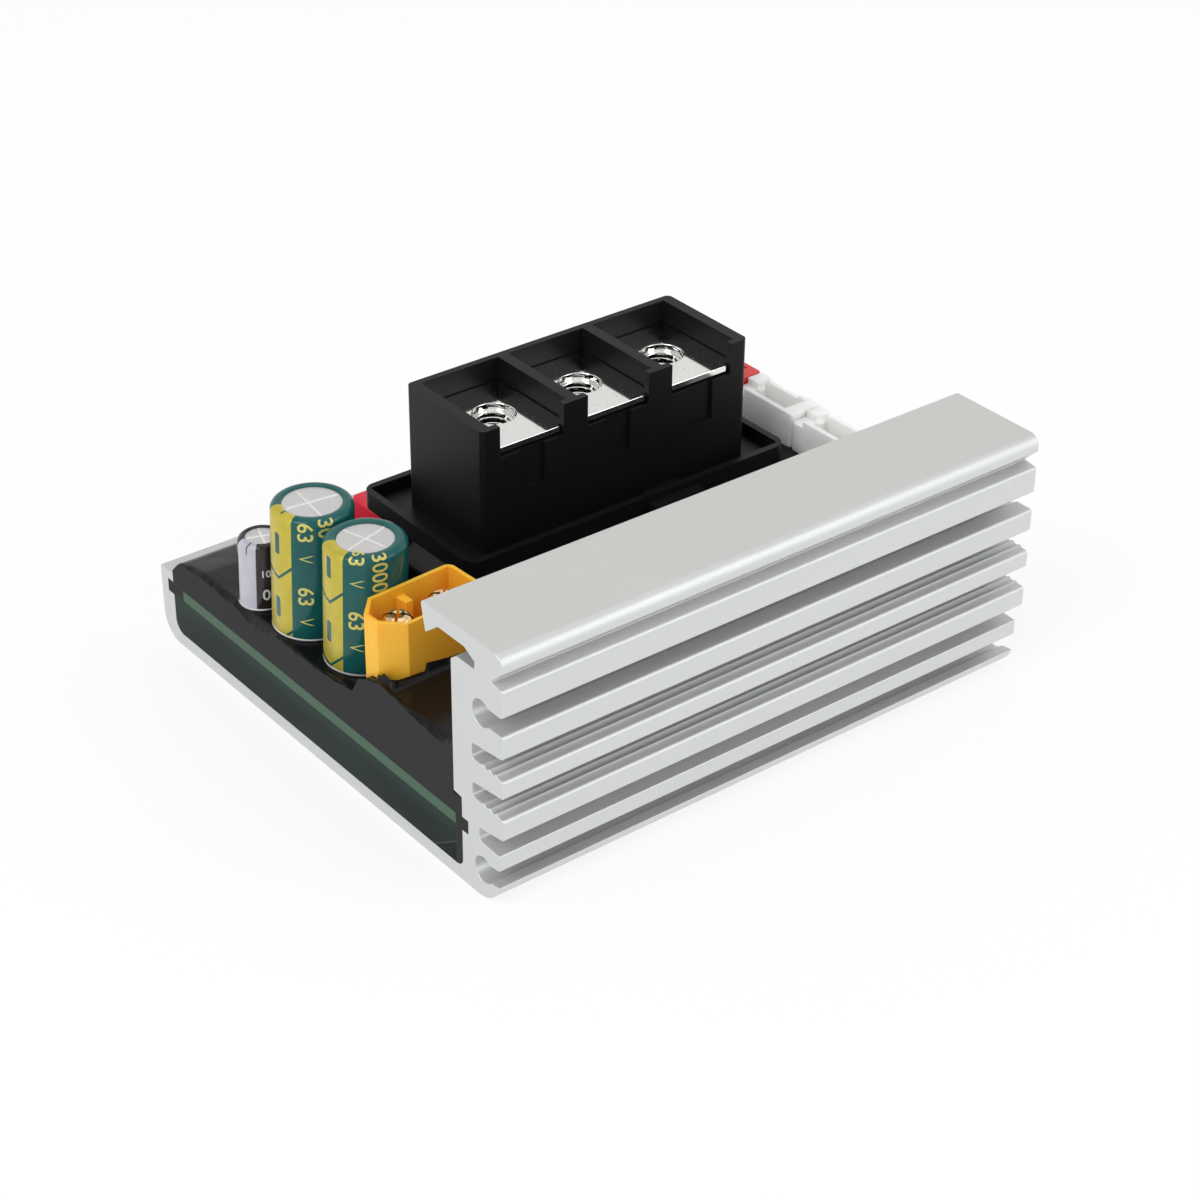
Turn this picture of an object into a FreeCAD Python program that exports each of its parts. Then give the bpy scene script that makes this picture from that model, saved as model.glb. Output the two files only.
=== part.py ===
import FreeCAD
import Part
import Sketcher
import math
import os

# Motor controller: a finned aluminium extrusion that holds a potted circuit board.
# X runs along the extrusion, Y across it from the fins to the low wall, Z up.
# The origin is at the middle of the underside. All sizes are in millimetres.

SIZES = {
    # Extrusion, overall
    "housing_length": 86.0,
    "housing_width": 78.6,
    "lip_height": 36.5,
    "floor_thickness": 2.0,
    "base_corner_radius": 3.7,
    # Low wall, on the side away from the fins
    "low_wall": 3.2,
    "low_wall_height": 10.9,
    "low_wall_fillet": 1.9,
    # Tall wall, measured from the fin tips
    "tall_wall": 10.05,
    "tall_wall_foot": 8.45,
    "tall_wall_fillet": 1.2,
    "wall_step_height": 12.4,
    "wall_step_slope": 0.2,
    # Slots that hold the board
    "slot_floor": 7.65,
    "slot_height": 1.9,
    "low_slot_depth": 1.4,
    "tall_slot_depth": 1.25,
    # Fins, from the foot up
    "foot_setback": 0.95,
    "foot_corner": 2.2,
    "foot_radius": 4.6,
    "foot_height": 3.3,
    "low_mouth": 2.5,
    "mouth_taper": 0.33,
    "fin_five": 2.2,
    "gap_four": 2.8,
    "fin_four": 2.9,
    "gap_three": 3.1,
    "fin_three": 2.5,
    "gap_two": 3.1,
    "fin_two": 3.2,
    "high_mouth": 2.5,
    "fin_one": 3.8,
    "fin_tip_radius": 0.4,
    "fin_root_radius": 0.5,
    "gap_depth": 6.2,
    "low_gap_depth": 5.0,
    "fin_top_rise": 0.25,
    "fin_root_drop": 0.8,
    "ridge_count": 3,
    "ridge_start": 1.1,
    "ridge_pitch": 1.25,
    "ridge_width": 0.8,
    "ridge_height": 0.3,
    "channel_radius": 1.82,
    "channel_depth": 4.12,
    # Lip above the fins, with the groove for a lid
    "nose_height": 2.2,
    "nose_radius": 1.6,
    "notch_depth": 2.16,
    "notch_rise": 0.3,
    "lip_reach": 15.1,
    "lip_edge_radius": 0.5,
    "lip_thickness": 2.15,
    "hook_drop": 4.1,
    "hook_width": 0.7,
    "hook_rise": 0.5,
    "hook_root": 2.6,
    "groove_back": 5.35,
    "groove_slant": 1.95,
    "groove_drop": 3.2,
    "groove_floor_drop": 4.25,
    "crest_width": 1.2,
    "crest_drop": 0.85,
    # Circuit board
    "board_thickness": 1.6,
    "board_end_gap": 0.5,
    "board_side_gap": 0.3,
    "board_corner": 2.5,
    "drill_clearance": 0.1,
    "lead_tail": 1.2,
    # Resins
    "resin_top": 14.3,
    "resin_edge_rise": 0.55,
    "resin_edge_in": 1.5,
    "resin_edge_up": 1.7,
    "resin_shoulder_in": 2.6,
    "resin_shoulder_up": 2.25,
    "resin_crown_in": 7.4,
    "resin_rim": 1.25,
    "resin_high": 18.9,
    "resin_bank_edge": -10.9,
    "resin_bank_foot": -7.3,
    "resin_bank_x": 27.0,
    "resin_bank_y": 17.7,
    "resin_bank_run": 3.6,
    # Large capacitors
    "large_can_radius": 5.08,
    "large_lead_pitch": 5.0,
    "first_large_x": 6.1,
    "first_large_y": 10.0,
    "first_large_top": 32.0,
    "second_large_x": 7.1,
    "second_large_y": -1.0,
    "second_large_top": 31.5,
    # Small capacitor
    "small_can_radius": 2.9,
    "small_lead_pitch": 2.5,
    "small_x": 3.5,
    "small_y": 18.35,
    "small_top": 24.3,
    # What the capacitors share
    "can_standoff": 0.4,
    "can_edge_radius": 0.7,
    "can_crimp_height": 2.4,
    "can_crimp_depth": 0.35,
    "can_wall": 0.5,
    "seal_height": 2.2,
    "sleeve_thickness": 0.28,
    "sleeve_lap": 1.1,
    "sleeve_foot": 0.3,
    "can_lead_radius": 0.35,
    # Battery socket
    "socket_x": 1.3,
    "socket_y": -14.9,
    "socket_turn": 3.3,
    "socket_length": 15.5,
    "socket_width": 8.0,
    "socket_rim": 27.1,
    "socket_floor": 19.1,
    "socket_wall": 0.9,
    "socket_chamfer": 2.7,
    "socket_corner": 1.1,
    "socket_rib_x": 6.5,
    "socket_rib_length": 1.5,
    "socket_rib_depth": 1.5,
    "socket_rib_drop": 2.0,
    "pin_radius": 1.75,
    "pin_pitch": 7.2,
    "pin_drop": 1.4,
    "pin_edge": 0.5,
    "pin_split": 0.45,
    "pin_split_depth": 5.5,
    "pin_shoulder": 2.0,
    "pin_tail_radius": 1.0,
    # Terminal block
    "block_x": 26.2,
    "block_y": 0.3,
    "block_width": 16.9,
    "block_top": 39.4,
    "block_corner": 0.8,
    "block_end_wall": 1.7,
    "block_back_wall": 1.0,
    "block_front_wall": 1.0,
    "block_end_gap": 9.6,
    "bay_divider": 1.65,
    "post_cover_near": 1.1,
    "post_cover_far": 1.2,
    "window_sill": 34.9,
    "well_depth": 5.0,
    "front_slot_width": 4.0,
    "front_slot_height": 5.7,
    "front_slot_depth": 0.5,
    # Tray round the block
    "tray_band_bottom": 20.3,
    "tray_band_height": 2.6,
    "tray_margin_near": 3.2,
    "tray_margin_far": 4.4,
    "tray_margin_front": 3.0,
    "tray_margin_back": 4.7,
    "tray_corner": 2.0,
    "tray_rim": 1.0,
    "tray_moat": 1.1,
    "tray_plateau_drop": 1.5,
    "tray_moat_depth": 0.5,
    "skirt_inset": 2.6,
    "skirt_front_inset": 1.8,
    "ear_x": 29.3,
    "ear_y": 3.4,
    "ear_radius": 4.3,
    "ear_height": 1.6,
    # Phase lugs
    "lug_top": 36.1,
    "lug_thickness": 0.9,
    "lug_clearance": 0.12,
    "lug_hole_back": 8.4,
    "lug_hole_radius": 2.9,
    "nut_side": 8.0,
    "nut_height": 3.6,
    "nut_thread_radius": 2.07,
    "lug_corner": 0.8,
    "leg_inset": 4.5,
    # Signal headers
    "header_end_gap": 0.6,
    "header_depth": 5.4,
    "header_top": 24.1,
    "header_floor": 16.0,
    "header_wall": 0.8,
    "header_end_wall": 2.2,
    "header_corner": 0.5,
    "white_header_length": 12.4,
    "red_header_length": 9.4,
    "header_gap": 0.2,
    "first_header_y": -11.3,
    "far_wall_drop": 0.5,
    "far_wall_low_post": 3.7,
    "far_wall_high_post": 2.5,
    "header_end_step": 0.9,
    "header_rib_radius": 0.8,
    "header_rib_shift": 0.5,
    "header_pin": 0.64,
    "header_pin_pitch": 2.5,
    "header_pin_height": 5.0,
    # Film capacitor
    "film_x": 23.2,
    "film_y": 16.9,
    "film_length": 7.8,
    "film_width": 10.2,
    "film_top": 19.2,
    "film_corner": 0.8,
    "film_lead_pitch": 7.5,
    "film_lead_radius": 0.3,
    # Power transistors under the board
    "transistor_spacing": 4.75,
    "transistor_width": 10.2,
    "transistor_height": 4.4,
    "transistor_tab_length": 1.5,
    "transistor_tab": 1.3,
    "transistor_lead_length": 2.6,
    "transistor_lead_width": 0.9,
    "transistor_lead_pitch": 2.54,
    "transistor_lead_thickness": 0.5,
    "transistor_shift": 1.1,
    "high_side_y": 4.7,
    "low_side_y": -13.3,
    "thermal_pad_margin": 3.0,
    # Small parts on the board, sealed in the resin
    "shunt_length": 6.4,
    "shunt_width": 3.2,
    "shunt_height": 1.0,
    "shunt_shift": 2.1,
    "shunt_y": -9.3,
    "driver_length": 5.0,
    "driver_width": 4.0,
    "driver_height": 1.6,
    "driver_shift": 3.1,
    "driver_y": -18.3,
    "processor_side": 9.0,
    "processor_height": 1.4,
    "processor_x": 18.5,
    "processor_y": -14.0,
    "inductor_side": 7.0,
    "inductor_height": 3.4,
    "inductor_x": 18.5,
    "inductor_y": -21.8,
    "regulator_length": 6.6,
    "regulator_width": 6.1,
    "regulator_height": 2.3,
    "regulator_x": 12.0,
    "regulator_y": 22.7,
    "chip_edge": 0.3,
}

PHASES = (1, 2, 3)
NEAR = 0.01
# A 45 degree corner shortens by this much when both its walls move in by 1
CORNER_SHARE = 2 - math.sqrt(2)

doc = FreeCAD.newDocument("motor_controller")
nodes = []


class Measure:
    """A number together with the formula that ties it to the sheet."""

    def __init__(self, formula, number):
        self.formula = formula
        self.number = number

    @staticmethod
    def of(value):
        if isinstance(value, Measure):
            return value
        return Measure("%.6f" % value, float(value))

    def __add__(self, other):
        other = Measure.of(other)
        return Measure("(%s + %s)" % (self.formula, other.formula), self.number + other.number)

    def __sub__(self, other):
        other = Measure.of(other)
        return Measure("(%s - %s)" % (self.formula, other.formula), self.number - other.number)

    def __mul__(self, other):
        other = Measure.of(other)
        return Measure("(%s * %s)" % (self.formula, other.formula), self.number * other.number)

    def __truediv__(self, other):
        other = Measure.of(other)
        return Measure("(%s / %s)" % (self.formula, other.formula), self.number / other.number)

    def __neg__(self):
        return Measure.of(0) - self

    __radd__ = __add__
    __rmul__ = __mul__

    def __rsub__(self, other):
        return Measure.of(other) - self


class Sizes:
    """The driving dimensions, each one a Measure read back from the sheet."""


def write_sheet():
    """Put the driving dimensions in a spreadsheet and hand them back as measures."""
    sheet = doc.addObject("Spreadsheet::Sheet", "Sizes")
    for row, (name, value) in enumerate(SIZES.items(), start=1):
        sheet.set("A%d" % row, name)
        sheet.set("B%d" % row, str(value))
        sheet.setAlias("B%d" % row, name)
    doc.recompute()
    sizes = Sizes()
    for name in SIZES:
        setattr(sizes, name, Measure("Sizes." + name, float(sheet.get(name))))
    return sizes


size = write_sheet()


def along(distance):
    """X of a distance from the near end of the extrusion."""
    return distance - size.housing_length / 2


def across(distance):
    """Y of a distance from the fin tips."""
    return distance - size.housing_width / 2


def bind(thing, path, measure):
    """Tie one property of an object to the sheet."""
    thing.setExpression(path, Measure.of(measure).formula)


def place(thing, x, y, z):
    """Tie an object's position to the sheet."""
    bind(thing, "Placement.Base.x", x)
    bind(thing, "Placement.Base.y", y)
    bind(thing, "Placement.Base.z", z)


def straight_edges(shape, axis, spots):
    """Names of the edges along an axis that pass through the given spots of the other two axes."""
    first, second = [index for index in range(3) if index != axis]
    names = []
    for spot in spots:
        found = []
        for index, edge in enumerate(shape.Edges, start=1):
            if edge.Curve.TypeId != "Part::GeomLine":
                continue
            if abs(edge.Curve.Direction[axis]) < 1 - NEAR:
                continue
            middle = edge.CenterOfMass
            off = abs(middle[first] - spot[0].number) + abs(middle[second] - spot[1].number)
            if off < NEAR:
                found.append("Edge%d" % index)
        if not found:
            raise ValueError("no edge at %.3f, %.3f" % (spot[0].number, spot[1].number))
        names += found
    return names


def round_edges(shape, radius, height):
    """Names of the circular edges of one radius at one height."""
    names = []
    for index, edge in enumerate(shape.Edges, start=1):
        if edge.Curve.TypeId != "Part::GeomCircle":
            continue
        off = abs(edge.Curve.Radius - radius.number) + abs(edge.Curve.Center.z - height.number)
        if off < NEAR:
            names.append("Edge%d" % index)
    if not names:
        raise ValueError("no round edge of radius %.3f" % radius.number)
    return names


class Piece:
    """A PartDesign body built up from sketches, pads, pockets and fillets."""

    def __init__(self, label):
        self.body = doc.addObject("PartDesign::Body", label)
        self.body.Label = label
        self.count = 0

    def named(self, kind):
        self.count += 1
        return "%s_%s_%d" % (self.body.Name, kind, self.count)

    def sketch(self, plane, height):
        """An empty sketch on one of the body's own planes, moved along that plane's normal."""
        sketch = self.body.newObject("Sketcher::SketchObject", self.named("sketch"))
        planes = [item for item in self.body.Origin.OriginFeatures if item.Role == plane + "_Plane"]
        sketch.AttachmentSupport = [(planes[0], "")]
        sketch.MapMode = "FlatFace"
        bind(sketch, "AttachmentOffset.Base.z", height)
        return sketch

    def locate(self, sketch, geometry, end, x, y):
        """Hold one point of a sketch at a place that the sheet gives."""
        for kind, measure in (("DistanceX", x), ("DistanceY", y)):
            measure = Measure.of(measure)
            index = sketch.addConstraint(
                Sketcher.Constraint(kind, -1, 1, geometry, end, measure.number))
            bind(sketch, "Constraints[%d]" % index, measure)

    def outline(self, plane, height, points):
        """A closed polygon through the given points."""
        sketch = self.sketch(plane, height)
        places = [(Measure.of(x), Measure.of(y)) for x, y in points]
        corners = [FreeCAD.Vector(x.number, y.number, 0) for x, y in places]
        total = len(corners)
        for index in range(total):
            line = Part.LineSegment(corners[index], corners[(index + 1) % total])
            sketch.addGeometry(line, False)
        for index in range(total):
            sketch.addConstraint(Sketcher.Constraint("Coincident", index, 2, (index + 1) % total, 1))
        for index, (x, y) in enumerate(places):
            self.locate(sketch, index, 1, x, y)
        return sketch

    def rectangle(self, plane, height, low, high):
        """A rectangle between two opposite corners."""
        corners = [(low[0], low[1]), (high[0], low[1]), (high[0], high[1]), (low[0], high[1])]
        return self.outline(plane, height, corners)

    def circles(self, plane, height, centres, radius):
        """Circles of one radius."""
        sketch = self.sketch(plane, height)
        radius = Measure.of(radius)
        normal = FreeCAD.Vector(0, 0, 1)
        for index, (x, y) in enumerate(centres):
            x, y = Measure.of(x), Measure.of(y)
            middle = FreeCAD.Vector(x.number, y.number, 0)
            sketch.addGeometry(Part.Circle(middle, normal, radius.number), False)
            self.locate(sketch, index, 3, x, y)
            held = sketch.addConstraint(Sketcher.Constraint("Radius", index, radius.number))
            bind(sketch, "Constraints[%d]" % held, radius)
        return sketch

    def pad(self, sketch, length, back=False):
        """Add material along the sketch's normal, or against it."""
        pad = self.body.newObject("PartDesign::Pad", self.named("pad"))
        pad.Profile = sketch
        pad.Reversed = back
        bind(pad, "Length", length)
        doc.recompute()
        return self

    def pocket(self, sketch, depth, ahead=False):
        """Take material away against the sketch's normal, or along it."""
        pocket = self.body.newObject("PartDesign::Pocket", self.named("pocket"))
        before = self.body.Shape.Volume
        pocket.Profile = sketch
        pocket.Reversed = ahead
        bind(pocket, "Length", depth)
        doc.recompute()
        if not self.body.Shape.Volume < before:
            raise ValueError("%s cuts nothing" % pocket.Name)
        return self

    def revolve(self, sketch):
        """Turn a sketch once round the upright axis."""
        turned = self.body.newObject("PartDesign::Revolution", self.named("revolution"))
        turned.Profile = sketch
        turned.ReferenceAxis = (sketch, ["V_Axis"])
        doc.recompute()
        return self

    def round_along(self, axis, spots, radius):
        """Round the straight edges along an axis at the given spots."""
        return self.edge_feature("Fillet", straight_edges(self.body.Shape, axis, spots), radius)

    def bevel_along(self, axis, spots, setback):
        """Bevel the straight edges along an axis at the given spots."""
        return self.edge_feature("Chamfer", straight_edges(self.body.Shape, axis, spots), setback)

    def edge_feature(self, kind, edges, amount):
        """Add a fillet or a chamfer on edges of the body as it stands."""
        base = self.body.Tip
        feature = self.body.newObject("PartDesign::" + kind, self.named(kind.lower()))
        feature.Base = (base, edges)
        bind(feature, "Radius" if kind == "Fillet" else "Size", amount)
        doc.recompute()
        return self

    def done(self, x=0, y=0, z=0):
        """Put the body in its place and keep it as a node."""
        place(self.body, x, y, z)
        nodes.append(self.body)
        return self.body


def box(label, low, high):
    """A plain block between two opposite corners."""
    block = doc.addObject("Part::Box", label)
    block.Label = label
    for path, near, far in zip(("Length", "Width", "Height"), low, high):
        bind(block, path, far - near)
    place(block, *low)
    return block


def rod(label, x, y, low, high, radius):
    """An upright cylinder between two heights."""
    cylinder = doc.addObject("Part::Cylinder", label)
    cylinder.Label = label
    bind(cylinder, "Radius", radius)
    bind(cylinder, "Height", high - low)
    place(cylinder, x, y, low)
    return cylinder


def group(label, members):
    """Separate solids of one kind, kept together as one node."""
    compound = doc.addObject("Part::Compound", label)
    compound.Label = label
    compound.Links = members
    nodes.append(compound)
    return compound


def without(label, base, tools):
    """A piece with the room for other pieces cut out of it."""
    joined = doc.addObject("Part::MultiFuse", label + "_tools")
    joined.Shapes = tools
    cut = doc.addObject("Part::Cut", label)
    cut.Label = label
    cut.Base = base
    cut.Tool = joined
    nodes.append(cut)
    return cut


# Heights and widths that several pieces share

board_bottom = size.slot_floor + (size.slot_height - size.board_thickness) / 2
board_top = board_bottom + size.board_thickness
slot_top = size.slot_floor + size.slot_height
tail_bottom = board_bottom - size.lead_tail
near_end = along(0)
far_end = along(size.housing_length)
low_wall_outside = across(size.housing_width)
low_wall_inside = low_wall_outside - size.low_wall
low_slot_root = low_wall_inside + size.low_slot_depth
foot_inside = across(size.tall_wall_foot)
tall_slot_root = foot_inside - size.tall_slot_depth
tall_inside = across(size.tall_wall)
step_top = size.wall_step_height + size.wall_step_slope


def fin_gap(depth, low, high, ridges):
    """The outline of one gap between two fins, from its lower lip to its upper lip."""
    floor_slope = size.fin_top_rise / depth
    points = [(across(0), low)]
    for index in range(ridges):
        start = size.ridge_start + index * size.ridge_pitch
        crest = start + size.ridge_width / 2
        end = start + size.ridge_width
        points.append((across(start), low + floor_slope * start))
        points.append((across(crest), low + floor_slope * crest + size.ridge_height))
        points.append((across(end), low + floor_slope * end))
    points.append((across(depth), low + size.fin_top_rise))
    points.append((across(depth), high - size.fin_root_drop))
    points.append((across(0), high))
    return points


def heatsink_housing():
    """The extrusion: one outline with fins, lip, groove and slots, then two screw channels."""
    fin_five_low = size.foot_height + size.low_mouth
    fin_five_top = fin_five_low + size.fin_five
    fin_four_low = fin_five_top + size.gap_four
    fin_four_top = fin_four_low + size.fin_four
    fin_three_low = fin_four_top + size.gap_three
    fin_three_top = fin_three_low + size.fin_three
    fin_two_low = fin_three_top + size.gap_two
    fin_two_top = fin_two_low + size.fin_two
    fin_one_low = fin_two_top + size.high_mouth
    fin_one_top = fin_one_low + size.fin_one
    foot_face = across(size.foot_setback)
    channel_y = across(size.channel_depth)
    mouth_end = across(size.channel_depth - size.channel_radius / 2)
    low_channel_z = size.foot_height + size.low_mouth / 2 - size.mouth_taper
    high_channel_z = fin_two_top + size.high_mouth / 2
    top = size.lip_height
    nose_low = top - size.nose_height
    lip_edge = across(size.lip_reach)
    hook_low = top - size.hook_drop
    lip_under = top - size.lip_thickness
    groove_low = top - size.groove_floor_drop
    groove_root = across(size.groove_back)
    ridges = int(size.ridge_count.number)

    low_mouth = [
        (foot_face, size.foot_height),
        (mouth_end, size.foot_height - size.mouth_taper),
        (mouth_end, fin_five_low - size.mouth_taper),
        (foot_face, fin_five_low),
    ]
    low_gap = [
        (foot_face, fin_five_top),
        (across(size.low_gap_depth), fin_five_top + size.fin_top_rise),
        (across(size.low_gap_depth), fin_four_low - size.fin_root_drop),
        (across(0), fin_four_low),
    ]
    high_mouth = [
        (across(0), fin_two_top),
        (mouth_end, fin_two_top),
        (mouth_end, fin_one_low),
        (across(0), fin_one_low),
    ]
    lip = [
        (across(0), fin_one_top),
        (across(size.notch_depth), fin_one_top + size.notch_rise),
        (across(0), nose_low),
        (across(0), top),
        (lip_edge, top),
        (lip_edge, hook_low),
        (lip_edge - size.hook_width, hook_low + size.hook_rise),
        (lip_edge - size.hook_root, lip_under),
        (groove_root + size.groove_slant, lip_under),
        (groove_root, top - size.groove_drop),
        (groove_root, groove_low),
        (tall_inside - size.crest_width, groove_low),
        (tall_inside, groove_low - size.crest_drop),
    ]
    cavity = [
        (tall_inside, step_top),
        (foot_inside, size.wall_step_height),
        (foot_inside, slot_top),
        (tall_slot_root, slot_top),
        (tall_slot_root, size.slot_floor),
        (foot_inside, size.slot_floor),
        (foot_inside, size.floor_thickness),
        (low_wall_inside, size.floor_thickness),
        (low_wall_inside, size.slot_floor),
        (low_slot_root, size.slot_floor),
        (low_slot_root, slot_top),
        (low_wall_inside, slot_top),
        (low_wall_inside, size.low_wall_height),
        (low_wall_outside, size.low_wall_height),
        (low_wall_outside, Measure.of(0)),
        (across(size.foot_corner), Measure.of(0)),
    ]
    points = low_mouth + low_gap
    points += fin_gap(size.gap_depth, fin_four_top, fin_three_low, ridges)
    points += fin_gap(size.gap_depth, fin_three_top, fin_two_low, ridges)
    points += high_mouth + lip + cavity

    piece = Piece("heatsink_housing")
    piece.pad(piece.outline("YZ", near_end, points), size.housing_length)
    centres = [(channel_y, low_channel_z), (channel_y, high_channel_z)]
    channels = piece.circles("YZ", near_end, centres, size.channel_radius)
    piece.pocket(channels, size.housing_length, ahead=True)
    piece.round_along(0, [(across(size.foot_corner), Measure.of(0))], size.foot_radius)
    piece.round_along(0, [(low_wall_outside, Measure.of(0))], size.base_corner_radius)
    piece.round_along(0, [(low_wall_inside, size.floor_thickness)], size.low_wall_fillet)
    piece.round_along(0, [(foot_inside, size.floor_thickness)], size.tall_wall_fillet)
    piece.round_along(0, [(across(0), top)], size.nose_radius)
    piece.round_along(0, [(lip_edge, top)], size.lip_edge_radius)
    tips = [fin_four_low, fin_four_top, fin_three_low, fin_three_top]
    tips += [fin_two_low, fin_two_top, fin_one_low, fin_one_top]
    piece.round_along(0, [(across(0), tip) for tip in tips], size.fin_tip_radius)
    roots = [(across(size.low_gap_depth), fin_five_top + size.fin_top_rise),
             (across(size.low_gap_depth), fin_four_low - size.fin_root_drop)]
    for low, high in ((fin_four_top, fin_three_low), (fin_three_top, fin_two_low)):
        roots.append((across(size.gap_depth), low + size.fin_top_rise))
        roots.append((across(size.gap_depth), high - size.fin_root_drop))
    piece.round_along(0, roots, size.fin_root_radius)
    return piece.done()


def can_leads(label, x, y, pitch, radius, top):
    """Two straight wires from a part down through the board."""
    wires = []
    for index, side in enumerate((-1, 1), start=1):
        wires.append(rod("%s_%d" % (label, index), x, y + side * pitch / 2, tail_bottom, top, radius))
    return wires


def drills(wires, clearance):
    """Holes a little wider than the wires that pass through the board."""
    holes = []
    for wire in wires:
        hole = doc.addObject("Part::Cylinder", wire.Name + "_hole")
        hole.setExpression("Radius", "%s.Radius + %s * 1mm" % (wire.Name, clearance.formula))
        hole.setExpression("Height", "%s.Height" % wire.Name)
        hole.setExpression("Placement", "%s.Placement" % wire.Name)
        holes.append(hole)
    return holes


def capacitor(name, x, y, radius, top, pitch):
    """A radial capacitor: aluminium can, rubber seal, shrink sleeve and two leads."""
    bottom = board_top + size.can_standoff
    seal_radius = radius - size.can_wall
    crimp = bottom + size.can_crimp_height
    crimp_half = size.can_crimp_depth
    can_top = top - size.sleeve_thickness
    seal_top = bottom + size.seal_height

    can = Piece(name + "_can")
    points = [
        (Measure.of(0), seal_top),
        (seal_radius - size.can_crimp_depth, seal_top),
        (seal_radius - size.can_crimp_depth, bottom),
        (radius, bottom),
        (radius, crimp - crimp_half),
        (radius - size.can_crimp_depth, crimp),
        (radius, crimp + crimp_half),
        (radius, can_top),
        (Measure.of(0), can_top),
    ]
    can.revolve(can.outline("XZ", 0, points))
    edges = round_edges(can.body.Shape, radius, can_top)
    can.edge_feature("Fillet", edges, size.can_edge_radius)
    can.done(x, y)

    seal = rod(name + "_seal", x, y, bottom, seal_top, seal_radius - size.can_crimp_depth)
    wires = can_leads(name + "_lead", x, y, pitch, size.can_lead_radius, seal_top)
    nodes.append(without_leads(seal, wires))

    sleeve = Piece(name + "_sleeve")
    outside = radius + size.sleeve_thickness
    foot = size.resin_top + size.sleeve_foot
    points = [
        (radius, foot),
        (outside, foot),
        (outside, top),
        (radius - size.sleeve_lap, top),
        (radius - size.sleeve_lap, can_top),
        (radius, can_top),
    ]
    sleeve.revolve(sleeve.outline("XZ", 0, points))
    inner = round_edges(sleeve.body.Shape, radius, can_top)
    sleeve.edge_feature("Fillet", inner, size.can_edge_radius)
    outer = round_edges(sleeve.body.Shape, outside, top)
    sleeve.edge_feature("Fillet", outer, size.can_edge_radius + size.sleeve_thickness)
    sleeve.done(x, y)

    group(name + "_leads", wires)
    return [can.body, wires]


def without_leads(seal, wires):
    """The rubber seal with its two leads passing through."""
    joined = doc.addObject("Part::MultiFuse", seal.Name + "_wires")
    joined.Shapes = wires
    cut = doc.addObject("Part::Cut", seal.Name + "_body")
    cut.Base = seal
    cut.Tool = joined
    seal.Label = seal.Name + "_blank"
    cut.Label = seal.Name
    return cut


def turn_socket(body):
    """Put a body that is drawn in the socket's own corner at its place on the board."""
    body.Placement = FreeCAD.Placement(FreeCAD.Vector(), FreeCAD.Rotation(FreeCAD.Vector(0, 0, 1), 1))
    bind(body, "Placement.Rotation.Angle", size.socket_turn)
    place(body, along(size.socket_x), size.socket_y, 0)


def socket_outline(inset):
    """The keyed outline of the socket, drawn inwards by an inset."""
    chamfer = size.socket_chamfer - inset * CORNER_SHARE
    right = size.socket_length - inset
    back = size.socket_width - inset
    low = Measure.of(0) + inset
    return [
        (low + chamfer, low),
        (right, low),
        (right, back),
        (low + chamfer, back),
        (low, back - chamfer),
        (low, low + chamfer),
    ]


def battery_socket():
    """The keyed socket shell and its two split pins."""
    shell = Piece("battery_socket_shell")
    height = size.socket_rim - board_top
    shell.pad(shell.outline("XY", board_top, socket_outline(Measure.of(0))), height)
    right = size.socket_length
    corners = [(right, Measure.of(0)), (right, size.socket_width)]
    shell.round_along(2, corners, size.socket_corner)
    cavity = shell.outline("XY", size.socket_rim, socket_outline(size.socket_wall))
    shell.pocket(cavity, size.socket_rim - size.socket_floor)
    rib_back = size.socket_width - size.socket_wall / 2
    rib_front = size.socket_width - size.socket_wall - size.socket_rib_depth
    low = (size.socket_rib_x, rib_front)
    high = (size.socket_rib_x + size.socket_rib_length, rib_back)
    rib_height = size.socket_rim - size.socket_rib_drop - size.socket_floor
    shell.pad(shell.rectangle("XY", size.socket_floor, low, high), rib_height)
    middle = size.socket_width / 2
    centres = [(size.socket_length / 2 + side * size.pin_pitch / 2, middle) for side in (-1, 1)]
    pin_bottom = board_top + size.pin_shoulder
    bores = shell.circles("XY", size.socket_floor, centres, size.pin_radius)
    shell.pocket(bores, size.socket_floor - pin_bottom)
    tail_bores = shell.circles("XY", pin_bottom, centres, size.pin_tail_radius)
    shell.pocket(tail_bores, size.pin_shoulder)
    shell.done()
    turn_socket(shell.body)

    pins = []
    holes = []
    pin_top = size.socket_rim - size.pin_drop
    for name, centre in zip(("battery_pin_positive", "battery_pin_negative"), centres):
        pin = Piece(name)
        pin.pad(pin.circles("XY", pin_bottom, [centre], size.pin_radius), pin_top - pin_bottom)
        tip = round_edges(pin.body.Shape, size.pin_radius, pin_top)
        pin.edge_feature("Fillet", tip, size.pin_edge)
        half = size.pin_split / 2
        reach = size.pin_radius * 2
        for wide, deep in ((reach, half), (half, reach)):
            low = (centre[0] - wide, centre[1] - deep)
            high = (centre[0] + wide, centre[1] + deep)
            pin.pocket(pin.rectangle("XY", pin_top, low, high), size.pin_split_depth)
        tail = pin.circles("XY", pin_bottom, [centre], size.pin_tail_radius)
        pin.pad(tail, pin_bottom - tail_bottom, back=True)
        pin.done()
        turn_socket(pin.body)
        pins.append(pin.body)
        hole = Piece(name + "_hole")
        wide = size.pin_tail_radius + size.drill_clearance
        hole.pad(hole.circles("XY", tail_bottom, [centre], wide), board_top - tail_bottom)
        turn_socket(hole.body)
        holes.append(hole.body)
    return shell.body, pins, holes


# Places of the terminal block that its lugs share

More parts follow.
